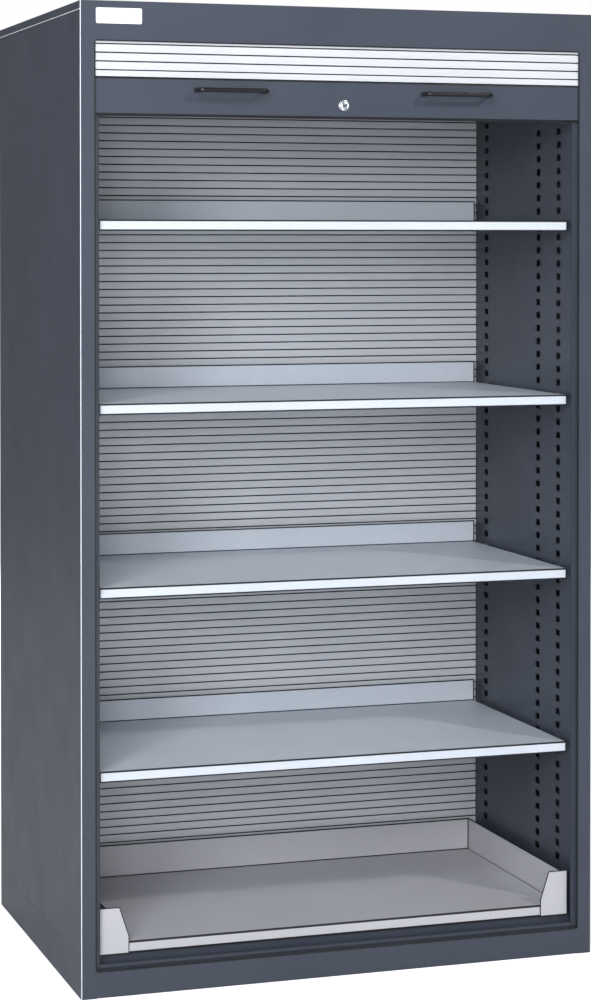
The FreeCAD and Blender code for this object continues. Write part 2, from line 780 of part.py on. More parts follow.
def bow_handle(side, handle_z, hole):
    """A round rod bent into a bow, with a threaded hole in each foot."""
    name = side_name(side)
    tag = name.capitalize()
    middle = mm.handle_offset.value * side
    half = mm.handle_holes.value / 2
    reach = mm.handle_reach.value - mm.handle_rod.value / 2
    corner = mm.handle_corner.value
    slope = corner * (1 - math.sqrt(0.5))
    points = [
        Vector(-half, 0, 0),
        Vector(-half, corner - reach, 0),
        Vector(slope - half, slope - reach, 0),
        Vector(corner - half, -reach, 0),
        Vector(half - corner, -reach, 0),
        Vector(half - slope, slope - reach, 0),
        Vector(half, corner - reach, 0),
        Vector(half, 0, 0),
    ]
    edges = [
        Part.LineSegment(points[0], points[1]).toShape(),
        Part.Arc(points[1], points[2], points[3]).toShape(),
        Part.LineSegment(points[3], points[4]).toShape(),
        Part.Arc(points[4], points[5], points[6]).toShape(),
        Part.LineSegment(points[6], points[7]).toShape(),
    ]
    circle = Part.makeCircle(mm.handle_rod.value / 2, points[0], Vector(0, -1, 0))
    bow = add("Part::Feature", f"Bow{tag}")
    bow.Shape = Part.Wire(edges).makePipeShell([Part.Wire([circle])], True, True)
    bow.Placement = FreeCAD.Placement(
        Vector(middle, bar_face_y.value, handle_z.value), FreeCAD.Rotation()
    )
    depth_y = (bar_face_y - mm.screw_bite - mm.cut_over, bar_face_y + mm.cut_over)
    tools = []
    for end in (-1, 1):
        foot_x = mm.handle_offset * side + mm.handle_holes / 2 * end
        tools.append(rod(f"Bore{tag}{end + 1}", hole, foot_x, depth_y, handle_z))
    node(f"handle_{name}", drilled(f"Handle{tag}", bow, tools))


def lock(inside):
    """Lock body with its nut, and the plug that turns the cam behind the sill lip."""
    face_y = bar_face_y
    barrel_end_y = face_y + mm.lock_depth
    cap = rod("LockCap", mm.lock_face, 0, (face_y - mm.lock_proud, face_y), lock_z)
    barrel = rod("LockBarrel", mm.lock_body, 0, (face_y - mm.lock_proud / 2, barrel_end_y), lock_z)
    bore_y = (face_y - mm.lock_proud - mm.cut_over, barrel_end_y + mm.cut_over)
    bore = rod("LockBore", mm.plug_rod + mm.plug_fit * 2, 0, bore_y, lock_z)
    node("lock_body", drilled("LockBody", fused("LockBlank", [cap, barrel]), [bore]))

    nut = add("Part::Prism", "NutBlank")
    nut.Polygon = 6
    nut.setExpression("Circumradius", (mm.lock_nut / 2).text)
    nut.setExpression("Height", mm.lock_nut_height.text)
    nut.Placement.Rotation = FreeCAD.Rotation(Vector(1, 0, 0), -90)
    place(nut, 0, inside, lock_z)
    nut_bore_y = (inside - mm.cut_over, inside + mm.lock_nut_height + mm.cut_over)
    nut_bore = rod("NutBore", mm.lock_body + mm.screw_fit * 2, 0, nut_bore_y, lock_z)
    node("lock_nut", drilled("LockNut", nut, [nut_bore]))

    cam_y = barrel_end_y + mm.cam_gap
    plug_y = (face_y - mm.lock_proud, cam_y)
    plug = rod("PlugBlank", mm.plug_rod, 0, plug_y, lock_z)
    key_x = (-mm.key_width / 2, mm.key_width / 2)
    key_y = (face_y - mm.lock_proud - mm.cut_over, face_y - mm.lock_proud + mm.key_depth)
    key_z = (lock_z - mm.key_length / 2, lock_z + mm.key_length / 2)
    slot = box("KeySlot", key_x, key_y, key_z)
    node("lock_plug", drilled("LockPlug", plug, [slot]))

    cam_x = (-mm.cam_width / 2, mm.cam_length)
    cam_z = (lock_z - mm.cam_width / 2, lock_z + mm.cam_width / 2)
    node("lock_cam", box("LockCam", cam_x, (cam_y, cam_y + mm.cam_sheet), cam_z))


def liners():
    """Slotted inner walls that carry the shelves."""
    front = liner_front_y
    outer = inner_x - mm.steel
    for side in (-1, 1):
        name = side_name(side)
        tag = name.capitalize()
        outline = side_outline(side, [
            (liner_x, front),
            (outer, front),
            (outer, front + mm.steel),
            (liner_x + mm.steel, front + mm.steel),
            (liner_x + mm.steel, liner_rear_y - mm.steel),
            (outer, liner_rear_y - mm.steel),
            (outer, liner_rear_y),
            (liner_x, liner_rear_y),
        ])
        liner_height = liner_top - floor_top
        body = profile(f"Liner{tag}", "XY_Plane", outline, 0, liner_height)
        place(body, 0, 0, floor_top)
        slots = []
        for middle in slot_columns:
            low = slot_first - floor_top - mm.slot_high / 2
            slots.append([
                (middle - mm.slot_wide / 2, low),
                (middle + mm.slot_wide / 2, low),
                (middle + mm.slot_wide / 2, low + mm.slot_high),
                (middle - mm.slot_wide / 2, low + mm.slot_high),
            ])
        sketch = sketch_on(body, "YZ_Plane", f"Liner{tag}_slots", slots)
        cut = body.newObject("PartDesign::Pocket", f"Liner{tag}_pocket")
        cut.Profile = sketch
        cut.Type = "ThroughAll"
        cut.Reversed = side > 0
        rows = body.newObject("PartDesign::LinearPattern", f"Liner{tag}_rows")
        rows.Originals = [cut]
        rows.Direction = (sketch, ["V_Axis"])
        rows.setExpression("Length", (mm.slot_pitch * (slot_count - 1)).text)
        rows.setExpression("Occurrences", slot_count.text)
        body.Tip = rows
        node(f"slotted_liner_{name}", body)


def shelf_z(index):
    """Upper face of a shelf, counted from the lowest."""
    return slot_first + mm.slot_pitch * (mm.shelf_first_slot + mm.shelf_slot_step * index) + mm.clip_rise


def shelves():
    """Folded shelves, each on four clips that hook into the slots."""
    front = lip_rear_y + mm.shelf_front_gap
    rear = rear_guide_y - mm.shelf_rear_gap
    clips = {-1: [], 1: []}
    for index in range(int(mm.shelf_count.value)):
        top = shelf_z(index)
        outline = [
            (front, top - mm.shelf_lip),
            (front + mm.shelf_return, top - mm.shelf_lip),
            (front + mm.shelf_return, top - mm.shelf_lip + mm.shelf_sheet),
            (front + mm.shelf_sheet, top - mm.shelf_lip + mm.shelf_sheet),
            (front + mm.shelf_sheet, top - mm.shelf_sheet),
            (rear, top - mm.shelf_sheet),
            (rear, top + mm.shelf_upstand),
            (rear - mm.shelf_sheet, top + mm.shelf_upstand),
            (rear - mm.shelf_sheet, top),
            (front, top),
        ]
        number = index + 1
        folded = profile(f"ShelfFold{number}", "YZ_Plane", outline, -shelf_x, shelf_x)
        pieces = [folded]
        for side in (-1, 1):
            end_x = side_bounds(side, shelf_x, shelf_x - mm.shelf_sheet)
            end_y = (front + mm.shelf_sheet, rear)
            end_z = (top - mm.shelf_side_fold, top - mm.shelf_sheet / 2)
            pieces.append(box(f"ShelfEnd{number}{side_name(side)}", end_x, end_y, end_z))
            for column in clip_columns:
                clip_name = f"Clip{number}{side_name(side)}{len(clips[side])}"
                clips[side].append(clip(clip_name, side, column, top))
        node(f"shelf_{number}", fused(f"Shelf{number}", pieces))
    for side in (-1, 1):
        name = side_name(side)
        node(f"shelf_clips_{name}", separate(f"ShelfClips{name.capitalize()}", clips[side]))


def clip(name, side, column, top):
    """One shelf clip: a plate on the liner, a tongue in the slot and a ledge."""
    half = mm.slot_wide / 2 - mm.clip_side_fit
    run = (column - half, column + half)
    ledge_top = top - mm.shelf_side_fold
    plate_x = side_bounds(side, liner_x, liner_x - mm.clip_sheet)
    plate = box(name + "Plate", plate_x, run, (ledge_top - mm.clip_sheet, top))
    ledge_x = side_bounds(side, liner_x, liner_x - mm.clip_ledge)
    ledge = box(name + "Ledge", ledge_x, run, (ledge_top - mm.clip_sheet, ledge_top))
    tongue_x = side_bounds(side, liner_x + mm.clip_tongue, liner_x - mm.clip_sheet)
    slot_z = top - mm.clip_rise
    tongue_half = mm.slot_high / 2 - mm.clip_slot_fit
    tongue_z = (slot_z - tongue_half, slot_z + tongue_half)
    tongue = box(name + "Tongue", tongue_x, run, tongue_z)
    return fused(name, [plate, ledge, tongue])


def tray():
    """Pull-out tray with a low front lip and tall sides, rear and front corners."""
    front = tray_front_y
    rear = tray_rear_y
    top = tray_floor
    wall_top = tray_floor + mm.tray_wall
    outline = [
        (front, top - mm.tray_lip),
        (front + mm.shelf_return, top - mm.tray_lip),
        (front + mm.shelf_return, top - mm.tray_lip + mm.tray_sheet),
        (front + mm.tray_sheet, top - mm.tray_lip + mm.tray_sheet),
        (front + mm.tray_sheet, top - mm.tray_sheet),
        (rear, top - mm.tray_sheet),
        (rear, wall_top),
        (rear - mm.tray_sheet, wall_top),
        (rear - mm.tray_sheet, top),
        (front, top),
    ]
    pieces = [profile("TrayFold", "YZ_Plane", outline, -tray_x, tray_x)]
    for side in (-1, 1):
        side_wall_x = side_bounds(side, tray_x, tray_x - mm.tray_sheet)
        wall_z = (top - mm.tray_sheet, wall_top)
        pieces.append(box(f"TraySide{side_name(side)}", side_wall_x, (front, rear), wall_z))
    node("tray_pan", fused("TrayPan", pieces))

    plate_x = lip_x - mm.corner_side_gap
    foot_z = top - mm.tray_lip
    for side in (-1, 1):
        name = side_name(side)
        corner_outline = side_outline(side, [
            (plate_x, foot_z),
            (plate_x, wall_top),
            (plate_x - mm.corner_top, wall_top),
            (plate_x - mm.corner_foot, foot_z + mm.corner_slope_foot),
            (plate_x - mm.corner_foot, foot_z),
        ])
        plate_y = (front - mm.tray_sheet, front)
        body = profile(f"TrayCorner{name.capitalize()}", "XZ_Plane", corner_outline, *plate_y)
        node(f"tray_corner_{name}", body)


def runner_section(side, outer, inner, web_at, clearance):
    """Outline (x, z) of one runner member: a web with a flange above and below."""
    low = runner_z + clearance
    high = runner_z + mm.runner_high - clearance
    web_in = web_at - mm.runner_sheet
    points = [
        (outer, low),
        (outer, low + mm.runner_sheet),
        (web_at, low + mm.runner_sheet),
        (web_at, high - mm.runner_sheet),
        (outer, high - mm.runner_sheet),
        (outer, high),
        (inner, high),
        (inner, high - mm.runner_sheet),
        (web_in, high - mm.runner_sheet),
        (web_in, low + mm.runner_sheet),
        (inner, low + mm.runner_sheet),
        (inner, low),
    ]
    kept = []
    for point in points:
        place_of_point = (round(point[0].value, 6), round(point[1].value, 6))
        if not kept or place_of_point != kept[-1][0]:
            kept.append((place_of_point, point))
    corners = [point for _, point in kept]
    return side_outline(side, straightened(corners))


def straightened(corners):
    """Drop corners that lie in line with their neighbours."""
    kept = []
    count = len(corners)
    for index, (u, v) in enumerate(corners):
        before = corners[index - 1]
        after = corners[(index + 1) % count]
        same_u = abs(before[0].value - u.value) < 1e-6 and abs(after[0].value - u.value) < 1e-6
        same_v = abs(before[1].value - v.value) < 1e-6 and abs(after[1].value - v.value) < 1e-6
        if not (same_u or same_v):
            kept.append((u, v))
    return kept


def runners():
    """Telescopic runners: an outer, a middle and an inner member on each side."""
    start = tray_front_y + mm.runner_front_gap
    end = tray_rear_y - mm.runner_rear_gap
    step = mm.runner_sheet + mm.runner_race
    mouth = tray_x + mm.runner_mouth
    middle_x = runner_x - mm.runner_sheet - mm.runner_web_gap
    middle_web_x = middle_x - mm.runner_web_step
    inner_reach = middle_web_x - mm.runner_sheet - mm.runner_nose_gap
    for side in (-1, 1):
        name = side_name(side)
        tag = name.capitalize()
        outer = runner_section(side, runner_x, mouth, runner_x, 0)
        node(f"runner_outer_{name}", profile(f"RunnerOuter{tag}", "XZ_Plane", outer, start, end))
        middle = runner_section(side, middle_x, mouth, middle_web_x, step)
        node(f"runner_middle_{name}", profile(f"RunnerMiddle{tag}", "XZ_Plane", middle, start, end))
        web_x = tray_x + mm.runner_sheet
        inner = runner_section(side, inner_reach, tray_x, web_x, step * 2)
        node(f"runner_inner_{name}", profile(f"RunnerInner{tag}", "XZ_Plane", inner, start, end))

        spacer_x = side_bounds(side, liner_x, runner_x)
        middle_z = runner_z + mm.runner_high / 2
        spacer_z = (middle_z - mm.spacer_high / 2, middle_z + mm.spacer_high / 2)
        first = (start + mm.spacer_inset, start + mm.spacer_inset + mm.spacer_long)
        last = (end - mm.spacer_inset - mm.spacer_long, end - mm.spacer_inset)
        blocks = []
        for position, run in enumerate((first, last)):
            blocks.append(box(f"Spacer{tag}{position}", spacer_x, run, spacer_z))
        node(f"runner_spacers_{name}", separate(f"RunnerSpacers{tag}", blocks))


def label_plate():
    """A blank plate with rounded corners at the left end of the header."""
    left = -opening_x + mm.steel / 2
    high = mm.height - mm.label_drop
    plate_y = (front_y - mm.label_sheet, front_y)
    blank = box("LabelBlank", (left, left + mm.label_width), plate_y, (high - mm.label_height, high))
    document.recompute()
    rounded = add("Part::Fillet", "LabelPlate")
    rounded.Base = blank
    radius = mm.label_corner.value
    across = []
    for number, edge in enumerate(blank.Shape.Edges, start=1):
        direction = edge.tangentAt(edge.FirstParameter)
        if abs(direction.y) > 0.9:
            across.append((number, radius, radius))
    rounded.Edges = across
    node("label_plate", rounded)


def write_parts():
    """Check every object and write one file for each sub-part."""
    document.recompute()
    for item in document.Objects:
        if "Invalid" in item.State or "Error" in item.State:
            raise RuntimeError(f"{item.Name} failed: {item.State}")
    os.makedirs("parts", exist_ok=True)
    for item in nodes:
        shape = item.Shape
        if shape.isNull() or not shape.isValid():
            raise RuntimeError(f"{item.Label} has no valid shape")
        shape.exportStep(f"parts/{item.Label}.step")
        bounds = shape.BoundBox
        print(f"{item.Label}: {len(shape.Solids)} solids, {shape.Volume / 1000:.1f} cm3, "
              f"z {bounds.ZMin:.1f} to {bounds.ZMax:.1f}")
    travel = seal_bottom.value - mm.sill_height.value - mm.seal_landing.value
    print(f"{len(nodes)} nodes, shutter travel {travel:.1f} mm")


housing()
track()
curtain()
shutter_bar()
liners()
shelves()
tray()
runners()
label_plate()
write_parts()
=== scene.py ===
# %% [markdown]
# # A roll front tool cabinet
# The imported solids give every size and place, and this script dresses them. It first loads
# them as a fixed frame: one mesh for each sheet, slat group and fitting. New pieces are then
# laid over the solids that need a finer form, most of them tied to the body that they move with.
# Everything is in metres: +Z is up and the open front faces -Y.

# %% Load the frame
import json
import math

import bpy
import numpy as np
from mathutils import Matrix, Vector


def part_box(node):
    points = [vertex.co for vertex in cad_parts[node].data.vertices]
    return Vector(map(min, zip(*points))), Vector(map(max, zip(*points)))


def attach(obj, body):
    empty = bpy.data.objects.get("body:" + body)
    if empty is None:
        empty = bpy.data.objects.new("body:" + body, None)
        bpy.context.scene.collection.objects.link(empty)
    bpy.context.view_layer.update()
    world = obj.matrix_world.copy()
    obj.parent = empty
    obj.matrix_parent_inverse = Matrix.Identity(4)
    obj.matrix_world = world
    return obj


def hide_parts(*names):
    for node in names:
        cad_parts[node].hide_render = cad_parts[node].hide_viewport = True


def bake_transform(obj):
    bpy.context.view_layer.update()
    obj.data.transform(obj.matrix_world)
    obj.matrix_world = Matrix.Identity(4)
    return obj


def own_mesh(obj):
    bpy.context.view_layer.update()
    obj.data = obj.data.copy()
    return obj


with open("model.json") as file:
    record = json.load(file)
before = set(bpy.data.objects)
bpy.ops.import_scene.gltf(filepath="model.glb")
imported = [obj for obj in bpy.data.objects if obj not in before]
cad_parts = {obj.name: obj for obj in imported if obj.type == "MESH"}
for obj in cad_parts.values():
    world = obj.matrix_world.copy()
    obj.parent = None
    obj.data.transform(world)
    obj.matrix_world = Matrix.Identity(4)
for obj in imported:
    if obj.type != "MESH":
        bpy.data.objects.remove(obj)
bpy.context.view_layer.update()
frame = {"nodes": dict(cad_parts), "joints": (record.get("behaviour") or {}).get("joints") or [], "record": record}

mm = 0.001
nodes = frame["nodes"]

# %% [markdown]
# ## The camera
# The photograph was taken from the left of the cabinet, at three quarters of its height, and
# its vertical lines stay parallel. That is a level camera whose picture is shifted down, as an
# architect's lens does it, so the view has almost no tilt and a vertical shift instead.

# %% Camera
picture_height = 1000
focal_pixels = 2573.5
sensor_mm = 36.0
eye = Vector((-1.6087, -4.9541, 1.3963))
yaw = math.radians(18.218)
tilt = math.radians(-1.099)
horizon_pixel = 290.0

camera_data = bpy.data.cameras.new("photo_camera")
camera_data.sensor_width = sensor_mm
camera_data.lens = focal_pixels * sensor_mm / picture_height
camera_data.shift_y = (horizon_pixel - picture_height / 2) / picture_height
camera = bpy.data.objects.new("photo_camera", camera_data)
bpy.context.scene.collection.objects.link(camera)
aim = Vector((math.sin(yaw) * math.cos(tilt), math.cos(yaw) * math.cos(tilt), math.sin(tilt)))
camera.location = eye
camera.rotation_mode = "QUATERNION"
camera.rotation_quaternion = aim.to_track_quat("-Z", "Y")
bpy.context.scene.camera = camera
bpy.context.scene.view_settings.view_transform = "Standard"
print("lens", round(camera_data.lens, 2), "mm, shift", camera_data.shift_y)

# %% [markdown]
# ## Colours and nodes
# Colours are written as the hex numbers that a picture editor shows, and one function turns
# them to the linear values that the renderer adds up. One more function adds any shader node
# with its settings and links, so that each material below reads as a short list.

# %% Colour and node helpers


def linear(code):
    """sRGB hex to linear: v/12.92 below 0.04045, and ((v+0.055)/1.055)^2.4 above it."""
    values = [int(code[i:i + 2], 16) / 255 for i in (1, 3, 5)]
    straight = [v / 12.92 if v <= 0.04045 else ((v + 0.055) / 1.055) ** 2.4 for v in values]
    return (*straight, 1.0)


def add_node(tree, kind, settings=None, links=None):
    """Add a node; settings fill its properties or sockets, and links feed its sockets."""
    node = tree.nodes.new(kind)
    for key, value in (settings or {}).items():
        if isinstance(key, str) and key not in node.inputs:
            setattr(node, key, value)
    for key, value in (settings or {}).items():
        if not isinstance(key, str) or key in node.inputs:
            node.inputs[key].default_value = value
    for key, source in (links or {}).items():
        tree.links.new(source, node.inputs[key])
    return node


def new_material(name):
    """A node material, its tree and the Object coordinates that its patterns use."""
    material = bpy.data.materials.new(name)
    material.use_nodes = True
    tree = material.node_tree
    tree.nodes.clear()
    return material, tree, add_node(tree, "ShaderNodeTexCoord").outputs["Object"]


def blend_colours(tree, share, low, high):
    """Mix of two colours by share, each a hex code or the output of a node."""
    mix = add_node(tree, "ShaderNodeMix", {"data_type": "RGBA"}, {0: share})
    for socket, colour in ((6, low), (7, high)):
        if isinstance(colour, str):
            mix.inputs[socket].default_value = linear(colour)
        else:
            tree.links.new(colour, mix.inputs[socket])
    return mix.outputs[2]


def stretch(tree, value, low, high, to_low=0.0, to_high=1.0):
    """Map a value from one range to another, clamped at its ends."""
    settings = {"From Min": low, "From Max": high, "To Min": to_low, "To Max": to_high}
    return add_node(tree, "ShaderNodeMapRange", settings, {"Value": value}).outputs["Result"]


def noise(tree, place, size_mm, detail=2.0, squeeze=(1, 1, 1)):
    """Noise whose blotches are about size_mm across, drawn out along an axis by squeeze."""
    per_metre = 1 / (size_mm * mm)
    scale = [per_metre * s for s in squeeze]
    turned = add_node(tree, "ShaderNodeMapping", {"Scale": scale}, {"Vector": place})
    settings = {"Scale": 1.0, "Detail": detail, "Roughness": 0.55}
    made = add_node(tree, "ShaderNodeTexNoise", settings, {"Vector": turned.outputs[0]})
    return made.outputs["Fac"]


def finish_shader(tree, colour, roughness, settings, height, height_mm):
    """Principled shader with its colour, roughness and bump, wired to the output."""
    bump = add_node(tree, "ShaderNodeBump", {"Strength": 1.0, "Distance": height_mm * mm},
                    {"Height": height})
    links = {"Base Color": colour, "Roughness": roughness, "Normal": bump.outputs[0]}
    shader = add_node(tree, "ShaderNodeBsdfPrincipled", settings, links)
    add_node(tree, "ShaderNodeOutputMaterial", {}, {"Surface": shader.outputs[0]})


print("dark grey as linear", [round(v, 4) for v in linear("#545964")])

# %% [markdown]
# ## Floor, world and lamps
# The cabinet stands on a plain pale studio floor. The world is soft grey light for the object
# and plain white for what the camera sees. A broad lamp just behind the camera looks straight
# into the bays and reaches the rear wall. Two soft ones on the left light the inner right wall:
# a low one slants in over the shelves to their rear, and a high one lights their fronts. A small
# lamp high on the right gives the bow handles their shadows, which fall down to the left. A last
# one behind keeps the back panel readable when the cabinet is turned.

# %% Studio
world = bpy.data.worlds.new("studio_world")
world.use_nodes = True
bpy.context.scene.world = world
sky = world.node_tree
sky.nodes.clear()
ray = add_node(sky, "ShaderNodeLightPath")
seen = add_node(sky, "ShaderNodeMath", {"operation": "MAXIMUM"},
                {0: ray.outputs["Is Camera Ray"], 1: ray.outputs["Is Transmission Ray"]})
room_light = add_node(sky, "ShaderNodeBackground", {"Color": linear("#EEF3FF"), "Strength": 0.26})
white_wall = add_node(sky, "ShaderNodeBackground", {"Color": (1, 1, 1, 1), "Strength": 1.0})
either = add_node(sky, "ShaderNodeMixShader", {},
                  {0: seen.outputs[0], 1: room_light.outputs[0], 2: white_wall.outputs[0]})
add_node(sky, "ShaderNodeOutputWorld", {}, {"Surface": either.outputs[0]})


def lamp(name, place, target, size, watts, colour="#FFFFFF"):
    """A rectangular area lamp that looks at a point."""
    data = bpy.data.lights.new(name, "AREA")
    data.shape = "RECTANGLE"
    data.size, data.size_y = size
    data.energy = watts
    data.color = linear(colour)[:3]
    light = bpy.data.objects.new(name, data)
    bpy.context.scene.collection.objects.link(light)
    light.location = place
    light.rotation_mode = "QUATERNION"
    light.rotation_quaternion = (Vector(target) - Vector(place)).to_track_quat("-Z", "Y")
    return light


lamp("camera_lamp", (-1.7, -5.6, 1.5), (0, 0, 0.9), (1.6, 1.6), 104, "#F8FAFF")
lamp("low_left_lamp", (-3.4, -4.8, 2.5), (0, 0, 0.9), (1.4, 1.0), 105, "#F8FAFF")
lamp("high_left_lamp", (-3.0, -5.5, 4.6), (0, 0, 0.9), (3.0, 3.0), 215, "#F8FAFF")
lamp("right_lamp", (2.9, -4.4, 4.4), (0, -0.3, 1.2), (0.3, 0.3), 90)
lamp("rear_lamp", (1.8, 5.0, 2.4), (0, 0, 0.9), (3.0, 3.0), 110)

floor_mesh = bpy.data.meshes.new("studio_floor")
reach = 9.0
floor_corners = [(-reach, -reach, 0), (reach, -reach, 0), (reach, reach, 0), (-reach, reach, 0)]
floor_mesh.from_pydata(floor_corners, [], [(0, 1, 2, 3)])
studio_floor = bpy.data.objects.new("studio_floor", floor_mesh)
bpy.context.scene.collection.objects.link(studio_floor)

floor_paint, tree, place = new_material("pale_studio_floor")
ray = add_node(tree, "ShaderNodeLightPath")
tone = blend_colours(tree, noise(tree, place, 400, 3), "#F0F0F1", "#F5F5F5")
matt = add_node(tree, "ShaderNodeBsdfDiffuse", {}, {"Color": tone})
lift = add_node(tree, "ShaderNodeEmission", {"Strength": 0.60})
lifted = add_node(tree, "ShaderNodeAddShader", {}, {0: matt.outputs[0], 1: lift.outputs[0]})
shown = add_node(tree, "ShaderNodeMixShader", {},
                 {0: ray.outputs["Is Camera Ray"], 1: matt.outputs[0], 2: lifted.outputs[0]})
add_node(tree, "ShaderNodeOutputMaterial", {}, {"Surface": shown.outputs[0]})
floor_mesh.materials.append(floor_paint)
print("five lamps and a floor of", 2 * reach, "m")

# %% [markdown]
# ## Seams and edges
# On a painted sheet the edges are where the eye reads the form, so each edge and fold gets a fine
# dark line of painted shade. A Bevel node compares the true normal with one averaged over the
# last few millimetres, so their difference is zero on a flat face and grows beside an edge. That
# serves the plain solids. A new piece traces its own line of painted shade on its folds and rims
# with an attribute instead, and another one switches the mask off on it, because no line shows
# where two sheets are welded and ground flush.

# %% Edge mask


def painted_edge_shade(tree, width_mm):
    """Painted shade line: one beside an edge, 1 - (averaged normal . true normal), stretched, or the traced line.
    """
    soft = add_node(tree, "ShaderNodeBevel", {"samples": 4, "Radius": width_mm * mm})
    true = add_node(tree, "ShaderNodeNewGeometry")
    dot = add_node(tree, "ShaderNodeVectorMath", {"operation": "DOT_PRODUCT"},
                   {0: soft.outputs[0], 1: true.outputs["Normal"]})
    beside = stretch(tree, dot.outputs["Value"], 0.99, 0.94)
    traced = add_node(tree, "ShaderNodeAttribute", {"attribute_name": "traced"}).outputs["Fac"]
    shade_line = add_node(tree, "ShaderNodeAttribute", {"attribute_name": "shade_line"}).outputs["Fac"]
    left_over = add_node(tree, "ShaderNodeMath", {"operation": "SUBTRACT", "use_clamp": True},
                         {0: beside, 1: traced})
    return add_node(tree, "ShaderNodeMath", {"operation": "MAXIMUM"},
                    {0: left_over.outputs[0], 1: shade_line}).outputs[0]


# %% [markdown]
# ## Powder coat
# The sheets are sprayed with dry paint that melts in an oven. That leaves an even satin skin with a
# fine orange peel of dimples about 1.5 mm across; it is drawn at 2.5 mm here so that it shows.
# The coat is a polyester resin with an IOR near 1.5 and a roughness near 0.4. Wiping and dust
# add broad, very weak blotches. Each edge gets a thin dark line of painted shade; the averaging
# reaches 4.5 mm here, which draws it about 2 mm wide so that it shows. The outer folds get a
# painted highlight: a second attribute brings it in as a pale line along the fold.

# %% Powder coat materials


coat_edge_mm = 4.5


def powder_coat(name, colour, worn, edge, roughness):
    """Satin powder coat in one colour with faint blotches, orange peel, painted shade at its edges and a painted
    highlight on its outer folds.
    """
    material, tree, place = new_material(name)
    blotch = stretch(tree, noise(tree, place, 260, 3), 0.35, 0.65)
    grain = stretch(tree, noise(tree, place, 2.2, 1), 0.25, 0.75)
    tone = blend_colours(tree, blotch, colour, worn)
    fleck = stretch(tree, grain, 0.0, 1.0, 0.0, 0.10)
    tone = blend_colours(tree, fleck, tone, edge)
    # The edge colour is painted shade along edges and folds; the pale colour below is a painted highlight.
    tone = blend_colours(tree, painted_edge_shade(tree, coat_edge_mm), tone, edge)
    wear_and_highlight = add_node(tree, "ShaderNodeAttribute", {"attribute_name": "painted_highlight"}).outputs["Fac"]
    tone = blend_colours(tree, wear_and_highlight, tone, "#F0F3F6")
    smear = noise(tree, place, 90, 4)
    rough = stretch(tree, smear, 0.3, 0.7, roughness - 0.03, roughness + 0.03)
    peel = noise(tree, place, 2.5, 1)
    finish_shader(tree, tone, rough, {"IOR": 1.5}, peel, 0.03)
    return material


paint_dark = powder_coat("powder_coat_anthracite", "#383E49", "#3C424D", "#0B0C0F", 0.42)
paint_light = powder_coat("powder_coat_pale_blue_grey", "#C9D0D7", "#CFD5DC", "#15171A", 0.45)
paint_tray = powder_coat("powder_coat_warm_grey", "#B8B7BB", "#BEBDC0", "#141517", 0.45)
print("three powder coats")

# %% [markdown]
# ## Moulded slats
# The slats are extruded from rigid light grey PVC. Extrusion leaves faint lines along each slat,
# so its noise is drawn out sixty times along X. PVC has an IOR of 1.53 and a satin roughness near
# 0.38. An attribute that is one in the groove darkens it there to near black: painted shade in
# the joints between slats.

# %% Slat plastic
slat_plastic, tree, place = new_material("extruded_pvc_light_grey")
streak = noise(tree, place, 1.2, 2, (1 / 60, 1, 1))
tone = blend_colours(tree, stretch(tree, streak, 0.3, 0.7), "#C6C8CB", "#CED0D3")
broad = stretch(tree, noise(tree, place, 180, 2), 0.35, 0.65, 0.0, 0.35)
tone = blend_colours(tree, broad, tone, "#BFC1C5")
# The groove attribute paints shade, near black, into the joints between slats.
groove_shade = add_node(tree, "ShaderNodeAttribute", {"attribute_name": "groove_shade"}).outputs["Fac"]
tone = blend_colours(tree, stretch(tree, groove_shade, 0.15, 0.75), tone, "#17191C")
rough = stretch(tree, streak, 0.3, 0.7, 0.34, 0.44)
finish_shader(tree, tone, rough, {"IOR": 1.53}, streak, 0.015)
print("slats:", slat_plastic.name)

# %% [markdown]
# ## Metals and rubber
# The runners and clips are zinc plated steel, rolled bright and then dipped, so they carry a
# faint crystal pattern some 6 mm across. The lock is chromed brass whose polish is dulled by
# hair scratches to a roughness near 0.2. The handles are steel rods in a black plastic coat
# with a fine grain, and the seal is black EPDM rubber with a roughness near 0.75.

# %% Fittings materials


def plated_steel(name, bright, dull, roughness):
    """Zinc plate: crystals 6 mm across shift the tone and the roughness a little."""
    material, tree, place = new_material(name)
    crystal = add_node(tree, "ShaderNodeTexVoronoi", {"Scale": 1 / (6 * mm)}, {"Vector": place})
    share = stretch(tree, crystal.outputs["Distance"], 0.1, 0.8)
    tone = blend_colours(tree, share, bright, dull)
    # Painted shade: a darker line along every edge.
    tone = blend_colours(tree, painted_edge_shade(tree, 0.6), tone, "#5A5E63")
    rough = stretch(tree, share, 0.0, 1.0, roughness - 0.06, roughness + 0.08)
    rolled = noise(tree, place, 0.8, 2, (1, 0.05, 1))
    finish_shader(tree, tone, rough, {"Metallic": 1.0}, rolled, 0.004)
    return material


zinc = plated_steel("zinc_plated_steel", "#C6CACE", "#AEB3B9", 0.34)
screw_zinc = plated_steel("zinc_plated_screw", "#B9BDC2", "#9BA0A6", 0.30)

chrome, tree, place = new_material("polished_chrome")
hair = noise(tree, place, 0.5, 3, (0.15, 1, 1))
# Painted shade: the chrome darkens along its edges.
tone = blend_colours(tree, painted_edge_shade(tree, 0.35), "#E4E7EA", "#6E7276")
finish_shader(tree, tone, stretch(tree, hair, 0.4, 0.8, 0.18, 0.28), {"Metallic": 1.0}, hair, 0.002)

handle_black, tree, place = new_material("black_plastic_coat")
pebble = noise(tree, place, 0.8, 1)
wear_and_highlight = stretch(tree, noise(tree, place, 25, 2), 0.45, 0.75, 0.0, 0.6)
tone = blend_colours(tree, wear_and_highlight, "#050506", "#0B0B0D")
finish_shader(tree, tone, stretch(tree, pebble, 0.3, 0.7, 0.28, 0.38), {"IOR": 1.5}, pebble, 0.02)

